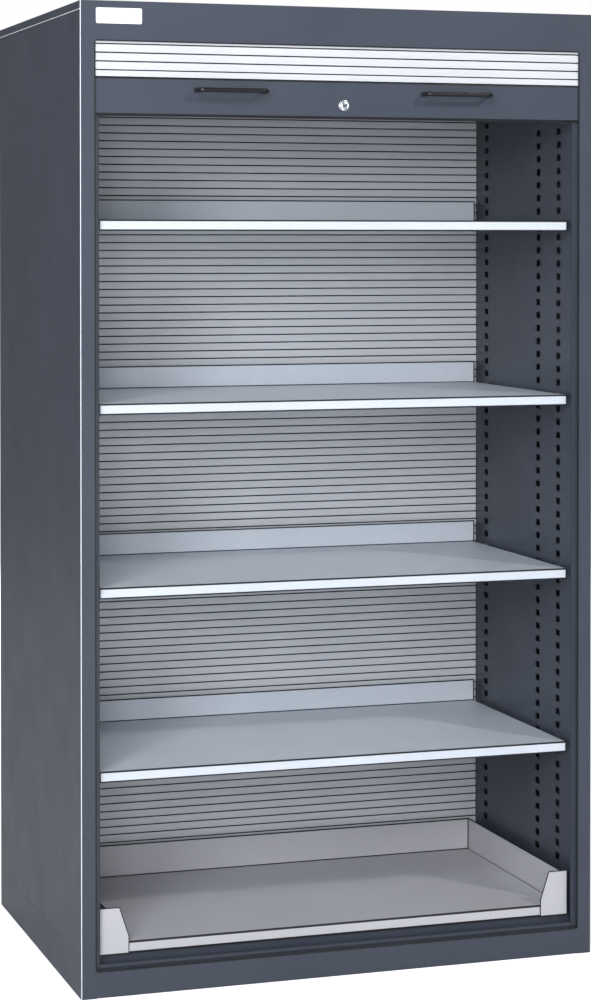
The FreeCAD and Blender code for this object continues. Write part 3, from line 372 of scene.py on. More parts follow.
seal_rubber, tree, place = new_material("black_epdm_rubber")
chalk = noise(tree, place, 12, 4)
tone = blend_colours(tree, stretch(tree, chalk, 0.4, 0.7), "#15161A", "#232529")
finish_shader(tree, tone, stretch(tree, chalk, 0.3, 0.7, 0.68, 0.82), {"IOR": 1.5}, chalk, 0.03)

label_enamel, tree, place = new_material("white_enamel_plate")
cloud = noise(tree, place, 14, 3)
tone = blend_colours(tree, stretch(tree, cloud, 0.35, 0.65), "#F3F4F6", "#F8F8FA")
# Painted shade: a grey line along the plate's edges.
tone = blend_colours(tree, painted_edge_shade(tree, 0.8), tone, "#8E9298")
finish_shader(tree, tone, stretch(tree, cloud, 0.3, 0.7, 0.22, 0.32), {"IOR": 1.52}, cloud, 0.01)
print("zinc, chrome, black coat, rubber and enamel")

# %% [markdown]
# ## Finishes of the plain sheets
# Most sheets of the housing are right as they are: flat, with sharp folds at this distance. They
# keep their solids and only get a material. The table pairs each finish of the record with one.

# %% Dress the solids
finish_of = {
    "dark_paint": paint_dark,
    "light_paint": paint_light,
    "tray_paint": paint_tray,
    "slat_plastic": slat_plastic,
    "runner_steel": zinc,
    "handle_black": handle_black,
    "lock_chrome": chrome,
    "seal_rubber": seal_rubber,
    "label_white": label_enamel,
    "screw_steel": screw_zinc,
}
slot_of = {part["node"]: part["material_slot"] for part in frame["record"]["subparts"]}
for name, solid in nodes.items():
    solid.data.materials.clear()
    solid.data.materials.append(finish_of[slot_of[name]])
print("finishes given to", len(nodes), "solids")

# %% [markdown]
# ## Skins
# Every new piece is one skin: rings of points, one ring at each station of a path, joined by
# quads. A profile carried along X, a tube round a bent rod and a turned knob are all rings that
# differ only in how their points are worked out. The ends are closed with one face each.

# %% Skin and profile helpers


def facing_left(outline):
    """The outline turned anticlockwise, by the sign of its shoelace area."""
    u, v = outline[:, 0], outline[:, 1]
    area = np.sum(u * np.roll(v, -1) - v * np.roll(u, -1))
    return outline if area > 0 else outline[::-1]


def skin(rings, capped=True):
    """Points and faces of rings[station, point]: quad (i,j) (i,j+1) (i+1,j+1) (i+1,j)."""
    stations, count = rings.shape[:2]
    number = np.arange(stations * count).reshape(stations, count)
    after = np.roll(number, -1, axis=1)
    quads = np.stack([number[:-1], after[:-1], after[1:], number[1:]], axis=-1).reshape(-1, 4)
    faces = quads.tolist()
    if capped:
        faces.append(number[0, ::-1].tolist())
        faces.append(number[-1].tolist())
    return rings.reshape(-1, 3), faces


def along(axis, outline, places):
    """Rings of a flat outline in millimetres, carried along an axis through its places."""
    outline = facing_left(np.asarray(outline, float))
    if axis == 1:
        outline = outline[::-1]
    across = [other for other in range(3) if other != axis]
    rings = np.empty((len(places), len(outline), 3))
    rings[..., across] = outline
    rings[..., axis] = np.asarray(places, float)[:, None]
    return rings


def piece(name, parts, material, body, stands_for=(), sharp=35, values=None):
    """One object from several skins in millimetres, riding on a body in place of its solids.

    values gives attributes, each as numbers or as a function of all the points. A piece with a
    painted shade line of its own is traced all over, so the Bevel line of painted shade leaves it alone.
    """
    faces, offset = [], 0
    for part_points, part_faces in parts:
        faces += [[index + offset for index in face] for face in part_faces]
        offset += len(part_points)
    points = np.concatenate([part[0] for part in parts])
    mesh = bpy.data.meshes.new(name)
    mesh.from_pydata((points * mm).tolist(), [], faces)
    mesh.polygons.foreach_set("use_smooth", [True] * len(mesh.polygons))
    mesh.set_sharp_from_angle(angle=math.radians(sharp))
    values = dict(values or {})
    if "shade_line" in values:
        values["traced"] = np.ones(len(points))
    for label, numbers in values.items():
        attribute = mesh.attributes.new(label, "FLOAT", "POINT")
        numbers = numbers(points) if callable(numbers) else numbers
        attribute.data.foreach_set("value", np.asarray(numbers, np.float32))
    mesh.materials.append(material)
    made = bpy.data.objects.new(name, mesh)
    bpy.context.scene.collection.objects.link(made)
    if body:
        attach(made, body)
    if stands_for:
        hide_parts(*stands_for)
    return made


def span(node, axis):
    """Lowest and highest millimetre of a solid along one axis."""
    low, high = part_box(node)
    return low[axis] / mm, high[axis] / mm


square = [(0, 0), (1, 0), (1, 1), (0, 1)]
print("skin of a test box has", len(skin(along(0, square, (0, 1)))[1]), "faces")

# %% [markdown]
# ## The shutter's slats
# A slat is a long bar with a slightly crowned face on both sides. Its edges curl in to a groove
# where it hooks into the next one, and that groove, with painted shade in it, is the dark line
# between two slats. One outline of twenty-two points makes all of them: u runs along the curtain
# and v across it. The same slats hang behind the shelves, so the crown and the groove are on both
# sides.

# %% Slat outline and track
pitch = 16.0
slat_outline = np.array([
    (-6.6, 3.05), (-3.4, 3.4), (0.0, 3.5), (3.4, 3.4), (6.6, 3.05), (7.15, 2.3), (7.45, 1.2),
    (7.9, 0.9), (7.9, -0.9), (7.45, -1.2), (7.15, -2.3), (6.6, -3.05), (3.4, -3.4), (0.0, -3.5),
    (-3.4, -3.4), (-6.6, -3.05), (-7.15, -2.3), (-7.45, -1.2), (-7.9, -0.9), (-7.9, 0.9),
    (-7.45, 1.2), (-7.15, 2.3),
])
slat_depth = np.clip((np.abs(slat_outline[:, 0]) - 6.6) / 0.55, 0, 1)
bar_top = span("shutter_bar", 2)[1]
slat_left, slat_right = span("curtain_rear_run", 0)
front_y = sum(span("lead_slats", 1)) / 2
rear_y = sum(span("curtain_rear_run", 1)) / 2
turn = 36.0
feed_top = span("front_bend_left", 2)[0]
straight = feed_top - bar_top
quarter = math.pi / 2 * turn
across = rear_y - front_y - 2 * turn
print("slats run from", slat_left, "to", slat_right, "mm, front", front_y, "rear", rear_y)


def track(distance):
    """Point (y, z) of the track: up, a quarter turn, back, a quarter turn, down."""
    s = np.asarray(distance, float)
    first = np.clip(s - straight, 0, quarter) / turn
    back = np.clip(s - straight - quarter, 0, across)
    second = np.clip(s - straight - quarter - across, 0, quarter) / turn
    down = np.clip(s - straight - 2 * quarter - across, 0, None)
    y = front_y + turn * (1 - np.cos(first)) + back + turn * np.sin(second)
    risen = np.clip(s, 0, straight) + turn * np.sin(first)
    z = bar_top + risen - turn * (1 - np.cos(second)) - down
    return np.stack([y, z], axis=-1)


def slats(starts, ends):
    """Rings of slats, each laid on the chord of the track between its start and end."""
    low, high = track(starts), track(ends)
    length = np.linalg.norm(high - low, axis=1)
    way = (high - low) / length[:, None]
    outward = np.stack([-way[:, 1], way[:, 0]], axis=1)
    middle = (low + high) / 2
    u = slat_outline[None, :, 0] * (length / pitch)[:, None]
    v = slat_outline[None, :, 1]
    flat = middle[:, None] + u[..., None] * way[:, None] + v[..., None] * outward[:, None]
    rings = np.empty((len(flat), 2, len(slat_outline), 3))
    rings[..., 0] = np.array([slat_left, slat_right])[None, :, None]
    rings[..., 1:] = flat[:, None]
    return rings


def curtain_piece(name, rings, body, stands_for):
    """A run of slats as one piece with the groove attribute; body is None where it rides on no body."""
    parts = [skin(slat[:, ::-1]) for slat in rings]
    # Painted shade: the groove attribute darkens each joint between slats.
    depth = np.tile(slat_depth[::-1], 2 * len(rings))
    return piece(name, parts, slat_plastic, body, stands_for, 28, {"groove_shade": depth})


# %% [markdown]
# ## Where the slats lie
# Five slats hang straight above the bar and move with it. One stands behind the header's fold,
# and then the curtain turns back, runs under the top cover, turns down and hangs behind the
# shelves. The places repeat what the solids hold, so each run is laid over its own node.

# %% Lay the curtain
first_slat = 12.5
lead_starts = np.concatenate([[0.0], first_slat + pitch * np.arange(4)])
lead_ends = first_slat + pitch * np.arange(5)
curtain_piece("slats_above_bar", slats(lead_starts, lead_ends), "shutter", ["lead_slats"])

hanging = straight + 2 * quarter + across
feed_start = lead_ends[-1]
tail_low = span("curtain_tail", 2)[0]
every = feed_start + pitch * np.arange(1, 400)
rounding_room = 1.0
every = every[every + pitch <= hanging + feed_top - tail_low + rounding_room]
slat_middle = every + pitch / 2
top_start = straight + quarter
top_end = top_start + across
bend_one = every[slat_middle < top_start]
on_top = every[(slat_middle >= top_start) & (slat_middle < top_end)]
bend_two = every[(slat_middle >= top_end) & (every < hanging)]
behind = every[every >= hanging]
runs = {
    "slats_front_bend": (bend_one, "carcass", "curtain_front_bend"),
    "slats_under_cover": (on_top, "carcass", "curtain_top_run"),
    "slats_rear_bend": (bend_two, "carcass", "curtain_rear_bend"),
    "slats_curtain_end": (behind[-2:], "curtain_end", "curtain_tail"),
}
for name, (starts, body, node) in runs.items():
    made = curtain_piece(name, slats(starts, starts + pitch), body, [node])
    print(name, len(starts), "slats", node, [round(v, 1) for v in span(node, 2)])

# %% [markdown]
# ## Slats that come and go
# When the shutter shuts, slats leave the rear run and arrive in front. The rear run, whose end
# rises as the shutter shuts, gets a mesh of its own. In front, a folded stack of slats waits
# behind the header, laid at rest for the bar to draw out as it goes down. A point of that stack is
# taken to fall by a smooth share 3t^2 - 2t^3 of the travel, so its place at rest is found
# backwards: each point is where it must be for the slats to hang 16 mm apart once the shutter is
# shut.

# %% Rear run and feed
rear_run = curtain_piece("slats_rear_run", slats(behind[:-2], behind[:-2] + pitch), "carcass",
                         ["curtain_rear_run"])
travel = [j for j in frame["joints"] if j["name"] == "shutter_slide"][0]
drop = abs(travel["range_m"][0] if "range_m" in travel else travel["range"][0]) / mm
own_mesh(rear_run)

stack_top = feed_top
stack_low = bar_top + lead_ends[-1]
stack = stack_top - stack_low
edges = np.append(np.arange(stack_low - drop, stack_top, pitch), stack_top)
shut = (edges[:-1] + edges[1:]) / 2
size = np.diff(edges) / pitch
z_shut = shut[:, None] + slat_outline[None, :, 0] * size[:, None]
t = np.linspace(0, 1, 20001)
fallen = stack_top - t * stack - (3 * t ** 2 - 2 * t ** 3) * drop
share = np.interp(-z_shut, -fallen, t)
feed = np.empty((len(shut), 2, len(slat_outline), 3))
feed[..., 0] = np.array([slat_left, slat_right])[None, :, None]
feed[..., 1] = (front_y - slat_outline[:, 1])[None, None, :]
feed[..., 2] = (stack_top - share * stack)[:, None, :]
feed_piece = curtain_piece("slats_fed_in", feed, None, ["feed_slat"])
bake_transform(feed_piece)

# %% [markdown]
# ## Bent sheet and rounded plates
# A press brake folds sheet over a radius near the sheet's own thickness, so no fold is a sharp
# corner. A folded sheet starts as its middle line: each corner becomes an arc, and the line is
# then moved half a sheet to both sides. The same arcs round the corners of a flat plate, and a
# plate's face is drawn in by a hair at its rims so that they catch the light. A fold's painted
# dark line of shade is about 2.2 mm wide and ends 0.4 mm further on. Points at both places keep
# it from spreading over a whole face, since the attribute that holds it runs evenly from one point
# to the next.

# %% Bend helpers
line_mm = 2.2
past_line_mm = line_mm + 0.4
line_past_bend = 1.2
crease_room = 0.05
crease_pads = (0.9, 1.3)
plate_line_mm, past_plate_line_mm = 1.55, 1.9


def corner_arcs(points, bend, steps=5, pad=crease_pads):
    """Arcs at the inner corners of a line, each from bend * tan(turn / 2) before its corner.

    Points lie at each pad before and after every arc, where a painted shade line ends.
    """
    points = np.asarray(points, float)
    way = np.diff(points, axis=0)
    way /= np.linalg.norm(way, axis=1)[:, None]
    before, after = way[:-1], way[1:]
    cross = before[:, 0] * after[:, 1] - before[:, 1] * after[:, 0]
    turned_by = np.arctan2(cross, np.sum(before * after, axis=1))
    left = np.stack([-before[:, 1], before[:, 0]], axis=1)
    begin = points[1:-1] - before * (bend * np.tan(np.abs(turned_by) / 2))[:, None]
    centre = begin + left * (bend * np.sign(turned_by))[:, None]
    angle = turned_by[:, None] * np.linspace(0, 1, steps)
    c, s = np.cos(angle)[..., None], np.sin(angle)[..., None]
    swung = c * left[:, None] - s * before[:, None]
    arcs = centre[:, None] - bend * np.sign(turned_by)[:, None, None] * swung
    pads = np.atleast_1d(pad)[:, None]
    leading = arcs[:, :1] - pads[::-1] * before[:, None]
    trailing = arcs[:, -1:] + pads * after[:, None]
    arcs = np.concatenate([leading, arcs, trailing], axis=1)
    count = len(pads)
    swung = np.concatenate([swung[:, :1]] * count + [swung] + [swung[:, -1:]] * count, axis=1)
    return arcs.reshape(-1, 2), swung.reshape(-1, 2), way


def folded(points, sheet, bend):
    """Outline of a bent sheet: its rounded middle line moved half a sheet to both sides."""
    arcs, normals, way = corner_arcs(points, bend)
    first, last = np.asarray(points, float)[[0, -1]]
    steps = np.array([0.0, line_mm, line_mm + 0.7])[:, None]
    line = np.concatenate([first + steps * way[0], arcs, last - steps[::-1] * way[-1]])
    end_normals = np.stack([-way[[0, -1], 1], way[[0, -1], 0]], axis=1)
    normals = np.concatenate([end_normals[[0, 0, 0]], normals, end_normals[[1, 1, 1]]])
    return np.concatenate([line + normals * sheet / 2, (line - normals * sheet / 2)[::-1]])


def rounded(outline, bend, steps=5, pad=0.3):
    """A closed outline with an arc at each corner."""
    outline = np.asarray(outline, float)
    return corner_arcs(np.concatenate([outline[-1:], outline, outline[:1]]), bend, steps, pad)[0]


def drawn_in(outline, inset):
    """A closed outline moved inwards along the mean normal of the two edges at each point."""
    outline = facing_left(np.asarray(outline, float))
    edge = np.roll(outline, -1, axis=0) - outline
    edge /= np.linalg.norm(edge, axis=1)[:, None]
    inward = np.stack([-edge[:, 1], edge[:, 0]], axis=1)
    inward = inward + np.roll(inward, 1, axis=0)
    return outline + inset * inward / np.linalg.norm(inward, axis=1)[:, None]


def near(corners, axes, reach):
    """A function that is one at points within reach of a corner, seen along the third axis."""
    corners = np.asarray(corners, float)

    def shade_line(points):
        away = np.linalg.norm(points[:, None, axes] - corners[None], axis=2)
        return away.min(axis=1) < reach
    return shade_line


def plate(outline, front, rear, soft):
    """Rings along Y of a plate with soft rims, and two more rings that hold its painted dark outline of shade."""
    full = facing_left(np.asarray(outline, float))
    insets = (soft, plate_line_mm, past_plate_line_mm)
    small, line, inside = (drawn_in(outline, inset) for inset in insets)
    face = [along(1, ring, (front,)) for ring in (inside, line, small)]
    back = [along(1, ring, (rear,)) for ring in (small, line, inside)]
    rings = np.concatenate(face + [along(1, full, (front + soft, rear - soft))] + back)
    dark = np.repeat([0, 1, 1, 1, 1, 1, 1, 0], len(full))
    return rings, dark


print("a folded angle has", len(folded([(0, 0), (10, 0), (10, 10)], 1, 1)), "outline points")

# %% [markdown]
# ## Front frame
# Two stiles, the header and the sill are welded into one flat front, with no seam to be seen
# where they meet. Each is a plate profile carried along its length, and its painted dark line of
# shade runs only beside the opening. Along the whole height of the outer left corner, its arc
# carries a painted highlight: a pale line in the paint.

# %% Front frame
sheet = 1.5
frame_low, frame_high = span("front_stile_left", 2)
frame_front, frame_back = span("front_stile_left", 1)
outer_x = span("front_stile_right", 0)[1]
inner_edge_x = span("front_stile_right", 0)[0]
header_low = span("header_panel", 2)[0]
sill_high = span("sill_panel", 2)[1]
highlight_mm = 1.1


def stile_crease(points):
    """Painted shade: one along the stile's inner edge where it borders the opening, and zero at the welds."""
    close = np.abs(points[:, 0]) < inner_edge_x + line_mm + crease_room
    return close & (points[:, 2] > sill_high) & (points[:, 2] < header_low)


def on_left_fold(points):
    """Painted highlight: one on the outer corner arc of the left stile and on the strip of face beside it."""
    return points[:, 0] < -outer_x + highlight_mm + crease_room


weld = 0.1
levels = [frame_low, sill_high - weld, sill_high + weld, header_low - weld, header_low + weld,
          frame_high]
for side, name in ((-1, "left"), (1, "right")):
    square = [(outer_x - 5, frame_front), (outer_x, frame_front), (outer_x, frame_back)]
    corner = corner_arcs(square, 1.0, pad=0.1)[0]
    steps_x = [inner_edge_x, inner_edge_x + line_mm, inner_edge_x + past_line_mm,
               outer_x - highlight_mm - 0.2, outer_x - highlight_mm]
    face = np.array([(x, frame_front) for x in steps_x])
    outline = np.concatenate([face, corner, [(outer_x, frame_back), (inner_edge_x, frame_back)]])
    outline[:, 0] *= side
    # Each stile carries painted shade along its inner edge, and the left one a painted highlight on its outer
    # fold.
    piece(f"stile_{name}_folded", [skin(along(2, outline, levels))], paint_dark, "carcass",
          [f"front_stile_{name}"], values={"shade_line": stile_crease, "painted_highlight": on_left_fold})

places = (-inner_edge_x, inner_edge_x)
header_back = span("header_panel", 1)[1]
header_outline = [
    (frame_front, header_low), (frame_back, header_low), (frame_back, frame_high - 2 * sheet),
    (header_back, frame_high - 2 * sheet), (header_back, frame_high - sheet),
    (frame_back, frame_high - sheet), (frame_back, frame_high), (frame_front, frame_high),
]
corners = rounded(header_outline, 0.3, 3, 0.2)
header_face = [(frame_front, header_low + past_line_mm), (frame_front, header_low + line_mm)]
header_rear = [(frame_back, header_low + line_mm), (frame_back, header_low + past_line_mm)]
corners = np.concatenate([corners[:10], header_rear, corners[10:], header_face])
# The header's painted shade line runs along its lower edge.
header_line_top = header_low + line_mm + crease_room
piece("header_softened", [skin(along(0, corners, places))], paint_dark, "carcass",
      ["header_panel"], values={"shade_line": lambda points: points[:, 2] < header_line_top})
sill_back = span("sill_panel", 1)[1]
base_flange, sill_bend = 30.0, 1.4
foot_back = frame_front + base_flange
sill_line = [(foot_back, sheet / 2), (frame_front + sheet / 2, sheet / 2),
             (frame_front + sheet / 2, sill_high - sheet / 2), (sill_back, sill_high - sheet / 2)]
# Painted shade along the sill's upper front fold.
sill_crease = near(sill_line[2:3], [1, 2], sill_bend + line_past_bend)
piece("sill_folded", [skin(along(0, folded(sill_line, sheet, sill_bend), places))], paint_dark,
      "carcass", ["sill_panel"], values={"shade_line": sill_crease})
print("front frame from", frame_low, "to", frame_high, "mm, opening", 2 * inner_edge_x, "mm wide")

# %% [markdown]
# ## Top cover
# The cover is one sheet folded down 17 mm over both sides. Its lower edges are hemmed, that is
# folded back on themselves, and the round back of the hem carries the same painted highlight as
# the corner of the stile. The cover is a folded profile along Y and each hem is a small bead
# below it. A painted shade attribute that is zero everywhere keeps the painted dark lines off both.

# %% Top cover
cover_front, cover_back = span("top_cover", 1)
cover_low, cover_high = span("top_cover", 2)
cover_x = span("top_cover", 0)[1]
hem = 1.9
inside_x = cover_x - sheet / 2
cover_line = [(-inside_x, cover_low + hem), (-inside_x, cover_high - sheet / 2),
              (inside_x, cover_high - sheet / 2), (inside_x, cover_low + hem)]
cover_parts = [skin(along(1, folded(cover_line, sheet, 1.5), (cover_front, cover_back)))]
for side in (-1, 1):
    low, high = sorted((side * cover_x, side * (cover_x - sheet)))
    bead = [(low, cover_low), (high, cover_low), (high, cover_low + hem), (low, cover_low + hem)]
    cover_parts.append(skin(along(1, rounded(bead, 0.6, 4, 0.1), (cover_front, cover_back))))
# The hems carry a painted highlight; the painted shade line is zero everywhere on the cover.
piece("top_cover_folded", cover_parts, paint_dark, "carcass", ["top_cover"],
      values={"shade_line": lambda points: points[:, 2] < 0,
              "painted_highlight": lambda points: points[:, 2] < cover_low + hem - crease_room})
print("cover reaches", cover_front, "to", cover_back, "mm")

# %% [markdown]
# ## The bar
# The bar at the shutter's lower edge is a folded channel with a lip at the top and the bottom of
# its back. A thin black rubber lip under it closes on the sill. Handles and lock sit on its face.

# %% Bar and seal
bar_front, bar_back = span("shutter_bar", 1)
bar_low, bar_high = span("shutter_bar", 2)
bar_left, bar_right = span("shutter_bar", 0)
bar_sheet, bar_lip, bar_bend = 1.5, 8.0, 1.3
half_sheet = bar_sheet / 2
bar_line = [
    (bar_back - half_sheet, bar_low + bar_lip), (bar_back - half_sheet, bar_low + half_sheet),
    (bar_front + half_sheet, bar_low + half_sheet), (bar_front + half_sheet, bar_high - half_sheet),
    (bar_back - half_sheet, bar_high - half_sheet), (bar_back - half_sheet, bar_high - bar_lip),
]
bar_outline = folded(bar_line, bar_sheet, bar_bend)
# Painted shade lines run along the bar's four folds.
bar_crease = near(bar_line[1:5], [1, 2], bar_bend + line_past_bend)
piece("bar_folded", [skin(along(0, bar_outline, (bar_left, bar_right)))], paint_dark, "shutter",
      ["shutter_bar"], values={"shade_line": bar_crease})

seal_front, seal_back = span("bottom_seal", 1)
seal_low, seal_high = span("bottom_seal", 2)
seal_outline = rounded([(seal_front, seal_low), (seal_back, seal_low), (seal_back, seal_high),
                        (seal_front, seal_high)], 0.8, 5, 0.1)
piece("rubber_lip", [skin(along(0, seal_outline, span("bottom_seal", 0)))], seal_rubber, "shutter",
      ["bottom_seal"], sharp=60)
print("bar", bar_high - bar_low, "mm high, seal", seal_high - seal_low, "mm")

# %% [markdown]
# ## Turned parts and tubes
# A bow handle is a rod bent at two corners: a circle carried along its middle line. The lock
# face, its plug and the screws are turned parts: rings about an axis along Y whose radius may
# change with the angle, which also gives a key slot or the hexagon of a screw's socket.

# %% Tube and turned helpers


def tube(line, radius, sides=20):
    """Rings about a line in the XY plane: radius * (cos(a) up + sin(a) (way x up))."""
    way = np.gradient(line, axis=0)
    way /= np.linalg.norm(way, axis=1)[:, None]
    up = np.array([0.0, 0.0, 1.0])
    across = np.cross(way, up)
    angle = np.linspace(0, 2 * math.pi, sides, endpoint=False)[None, :, None]
    return line[:, None] + radius * (np.cos(angle) * up + np.sin(angle) * across[:, None])


def turned(radii, depths, centre, facing=1, angles=None):
    """Rings of a turned part about Y: x = r sin(a), z = r cos(a), deeper rings further back."""
    if angles is None:
        angles = np.linspace(0, 2 * math.pi, 36, endpoint=False)
    radii = np.array([np.broadcast_to(r, angles.shape) for r in radii], float)
    rings = np.empty(radii.shape + (3,))
    rings[..., 0] = centre[0] + facing * radii * np.sin(angles)
    rings[..., 1] = centre[1] + facing * np.asarray(depths, float)[:, None]
    rings[..., 2] = centre[2] + radii * np.cos(angles)
    return rings


# %% [markdown]
# ## Bow handles
# Each handle is a 9 mm steel rod in a thick black plastic coat, bent to a bow with 9 mm corners.
# Its middle line has two straight feet on the bar and twelve points round each corner.

# %% Bow handles
for name in ("left", "right"):
    foot_left, foot_right = span(f"handle_{name}", 0)
    tip_y, foot_y = span(f"handle_{name}", 1)
    level = sum(span(f"handle_{name}", 2)) / 2
    rod = (span(f"handle_{name}", 2)[1] - level)
    left, right, out = foot_left + rod, foot_right - rod, tip_y + rod
    corners = [(left, foot_y), (left, out), (right, out), (right, foot_y)]
    arcs = corner_arcs(corners, 9.0, 12, 1.0)[0]
    straight_steps = np.linspace(foot_y, out + 11, 4)
    down = np.stack([np.full(4, left), straight_steps], axis=1)
    line = np.concatenate([down, arcs, (down * [0, 1] + [right, 0])[::-1]])
    line = np.column_stack([line, np.full(len(line), level)])
    rings = tube(line, rod)
    piece(f"bow_handle_{name}", [skin(rings)], handle_black, "shutter", [f"handle_{name}"],
          sharp=60)
    print("handle", name, "from", round(foot_left, 1), "to", round(foot_right, 1), "mm")

# %% [markdown]
# ## Cylinder lock
# The face of the lock is a chromed ring with a round shoulder. The plug in it turns with the
# key; its face carries the key slot and a fine bevel round the rim. Both are turned parts, and
# the slot is the innermost ring of the plug with the radius of a narrow rectangle.

# %% Lock
ring_front, ring_back = span("lock_body", 1)
ring_rod = span("lock_body", 0)[1]
lock_level = sum(span("lock_body", 2)) / 2
proud = bar_front - ring_front
bore = 7.15
barrel = 9.0
shoulder = np.linspace(0, math.pi / 2, 6)
round_over = 1.2
ring_length = ring_back - ring_front
ring_radii = np.concatenate([[bore, bore + 0.5, ring_rod - 1.6],
                             ring_rod - round_over + round_over * np.sin(shoulder),
                             [ring_rod, barrel, barrel, bore, bore]])
ring_depths = np.concatenate([[0.5, 0.1, 0.0], round_over - round_over * np.cos(shoulder),
                              [proud, proud, ring_length, ring_length, 0.5]])
ring_centre = (0, ring_front, lock_level)
rings = turned(ring_radii, ring_depths, ring_centre)
piece("lock_ring", [skin(rings, capped=False)], chrome, "shutter", ["lock_body"], sharp=40)

slot_half_width, slot_half_height, slot_depth = 0.8, 4.0, 6.0
slot_corner = math.atan2(slot_half_width, slot_half_height)
slot_corners = np.array([1, -1, 1, -1]) * slot_corner + [0, 2 * math.pi, math.pi, math.pi]
angles = np.linspace(0, 2 * math.pi, 32, endpoint=False)
angles = np.sort(np.concatenate([angles, slot_corners]))


def slot_radius(grow):
    """Distance from the middle to a narrow rectangle, in the direction of each angle."""
    wide = (slot_half_width + grow) / np.maximum(np.abs(np.sin(angles)), 1e-6)
    high = (slot_half_height + grow) / np.maximum(np.abs(np.cos(angles)), 1e-6)
    return np.minimum(wide, high)


plug_front, plug_back = span("lock_plug", 1)
plug_rod = span("lock_plug", 0)[1]
plug_radii = [slot_radius(0), slot_radius(0), slot_radius(0.25), plug_rod - 0.5, plug_rod, plug_rod]
plug_depths = [slot_depth, 0.25, 0.0, 0.0, 0.4, plug_back - plug_front]
rings = turned(plug_radii, plug_depths, (0, plug_front, lock_level), 1, angles)
piece("lock_plug_turned", [skin(rings)], chrome, "lock", ["lock_plug"], sharp=40)
print("lock face", round(2 * ring_rod, 1), "mm across, plug", round(2 * plug_rod, 1), "mm")

# %% [markdown]
# ## Shelves
# Each shelf is one sheet folded three times: a small return, the front lip, and the upstand at
# the rear. Below its ends an angle is welded on, which rests on the clips. The lip hangs in
# front of the clips; the sheet is thin, and its folds, upstand top and ends carry fine dark lines
# of painted shade.

# %% Shelves
shelf_sheet, shelf_lip, shelf_return, shelf_upstand, shelf_end = 1.2, 21.0, 12.0, 45.0, 18.0
shelf_bend, angle_bend, angle_flange, angle_room = 1.3, 1.2, 14, 1.0
words = ("one", "two", "three", "four")
for number, word in enumerate(words, 1):
    node = f"shelf_{number}"
    left, right = span(node, 0)
    front, rear = span(node, 1)
    top = span(node, 2)[1] - shelf_upstand
    h = shelf_sheet / 2
    line = [(front + shelf_return, top - shelf_lip + h), (front + h, top - shelf_lip + h),
            (front + h, top - h), (rear - h, top - h), (rear - h, top + shelf_upstand)]
    run = (left, left + line_mm, left + past_line_mm, right - past_line_mm, right - line_mm, right)
    parts = [skin(along(0, folded(line, shelf_sheet, shelf_bend), run))]
    for end in (-1, 1):
        edge = right - h
        under = top - shelf_sheet - h
        angle_line = [(end * edge, top - shelf_end), (end * edge, under),
                      (end * (edge - angle_flange), under)]
        run = (front + shelf_sheet + angle_room, rear - shelf_sheet - angle_room)
        parts.append(skin(along(1, folded(angle_line, shelf_sheet, angle_bend), run)))
    sheet_points = parts[0][0]
    # Painted shade: dark lines on the shelf's folds, the top of its upstand and its ends.
    on_folds = near(line[1:], [1, 2], shelf_bend + line_past_bend)(sheet_points)
    on_sheet = on_folds | (np.abs(sheet_points[:, 0]) > right - line_mm - crease_room)
    on_ends = np.zeros(sum(len(part[0]) for part in parts[1:]))
    piece(f"shelf_{word}_folded", parts, paint_light, f"shelf_{word}", [node],
          values={"shade_line": np.concatenate([on_sheet, on_ends])})
    print(node, "surface at", round(top, 1), "mm")

# %% [markdown]
# ## Tray
# The tray is folded like a shelf, with a low lip in front and a high rear wall. The side walls
# are sheets set on edge with softened rims, and two sloped plates close the front corners. Its
# folds, ends, wall tops and corner plates carry painted dark lines of shade.

# %% Tray
tray_sheet, tray_lip, tray_wall, tray_bend = 1.5, 22.0, 65.5, 1.5
left, right = span("tray_pan", 0)
front, rear = span("tray_pan", 1)
wall_top = span("tray_pan", 2)[1]
top = wall_top - tray_wall
h = tray_sheet / 2
line = [(front + shelf_return, top - tray_lip + h), (front + h, top - tray_lip + h),
        (front + h, top - h), (rear - h, top - h), (rear - h, wall_top)]
inner_right = right - tray_sheet
run = inner_right - np.array([0.0, line_mm, past_line_mm])
parts = [skin(along(0, folded(line, tray_sheet, tray_bend), np.concatenate([-run, run[::-1]])))]
for low, high in ((left, left + tray_sheet), (right - tray_sheet, right)):
    under = top - tray_sheet
    rim = rounded([(low, under), (high, under), (high, wall_top), (low, wall_top)], 0.5, 4, 0.2)
    line_low, line_high = wall_top - past_line_mm, wall_top - line_mm
    rim = np.concatenate([rim[:12], [(high, line_low), (high, line_high)], rim[12:],
                          [(low, line_high), (low, line_low)]])
    parts.append(skin(along(1, rim, (front + tray_sheet, rear))))
floor_points = parts[0][0]
# Painted shade: dark lines on the tray's folds, ends and wall tops.
on_folds = near(line[1:], [1, 2], tray_bend + line_past_bend)(floor_points)
on_floor = on_folds | (np.abs(floor_points[:, 0]) > inner_right - line_mm - crease_room)
on_walls = [part[0][:, 2] > wall_top - line_mm - crease_room for part in parts[1:]]
piece("tray_folded", parts, paint_tray, "tray", ["tray_pan"],
      values={"shade_line": np.concatenate([on_floor] + on_walls)})

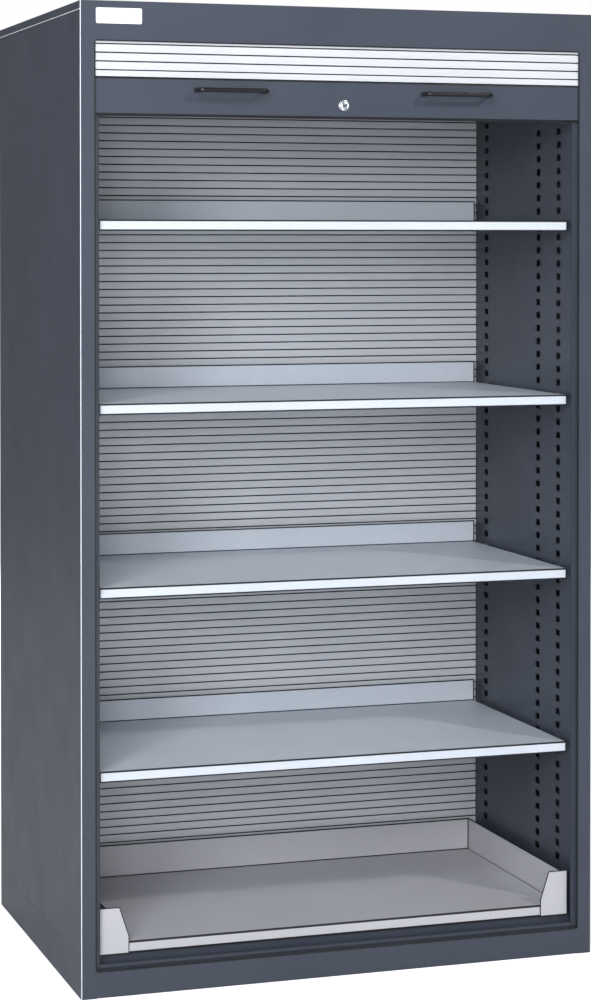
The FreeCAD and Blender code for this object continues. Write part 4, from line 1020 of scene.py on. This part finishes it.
corner_top, corner_foot, slope_foot = 40.0, 58.0, 32.0
for side, name in ((-1, "left"), (1, "right")):
    node = f"tray_corner_{name}"
    outer = max(abs(v) for v in span(node, 0))
    low, high = span(node, 2)
    corners = [(outer, low), (outer, high), (outer - corner_top, high),
               (outer - corner_foot, low + slope_foot), (outer - corner_foot, low)]
    # The plate's outline rings carry a painted dark line of shade.
    rings, dark = plate(rounded(np.array(corners) * [side, 1], 2.0, 4), *span(node, 1), 0.35)
    piece(f"tray_corner_{name}_plate", [skin(rings)], paint_tray, "tray", [node],
          values={"shade_line": dark})
print("tray floor at", round(top, 1), "mm, walls to", round(wall_top, 1), "mm")

# %% [markdown]
# ## Label plate and back screws
# The plate on the header is a small white enamelled blank with rounded corners and a raised rim,
# left without any print. The back panel is held by ten button-head screws with a hexagon
# socket: the socket is a ring whose radius is its apothem divided by the cosine to each flat.

# %% Label plate and screws
left, right = span("label_plate", 0)
low, high = span("label_plate", 2)
front, rear = span("label_plate", 1)
outline = rounded([(left, low), (right, low), (right, high), (left, high)], 3.0, 7)
field = along(1, drawn_in(outline, 1.6), (front + 0.15,))
rim = [along(1, drawn_in(outline, 1.2), (front,)), along(1, drawn_in(outline, 0.25), (front,))]
sides = along(1, outline, (front + 0.25, rear))
piece("blank_label", [skin(np.concatenate([field] + rim + [sides]))], label_enamel, "carcass",
      ["label_plate"], sharp=50)

screw_angles = np.linspace(0, 2 * math.pi, 24, endpoint=False)
hexagon = 1.5 / np.cos((screw_angles % (math.pi / 3)) - math.pi / 6)
head_face = span("back_screws", 1)[1]
panel_low, panel_high = span("back_panel", 2)
screw_inset, screw_margin = 13.0, 60.0
screw_x = outer_x - screw_inset
rows = np.linspace(panel_low + screw_margin, panel_high - sheet - screw_margin, 5)
radii = [hexagon, hexagon, hexagon + 0.2, 2.9, 3.6, 3.95, 4.0, 2.0, 2.0]
depths = [1.5, 0.25, 0.1, 0.25, 0.7, 1.3, 2.2, 2.2, 11.2]
places = [(side * screw_x, head_face, z) for z in rows for side in (-1, 1)]
parts = [skin(turned(radii, depths, spot, -1, screw_angles)) for spot in places]
piece("back_screws_button", parts, screw_zinc, "carcass", ["back_screws"], sharp=40)
print(len(parts), "back screws, label", round(right - left, 1), "by", round(high - low, 1), "mm")
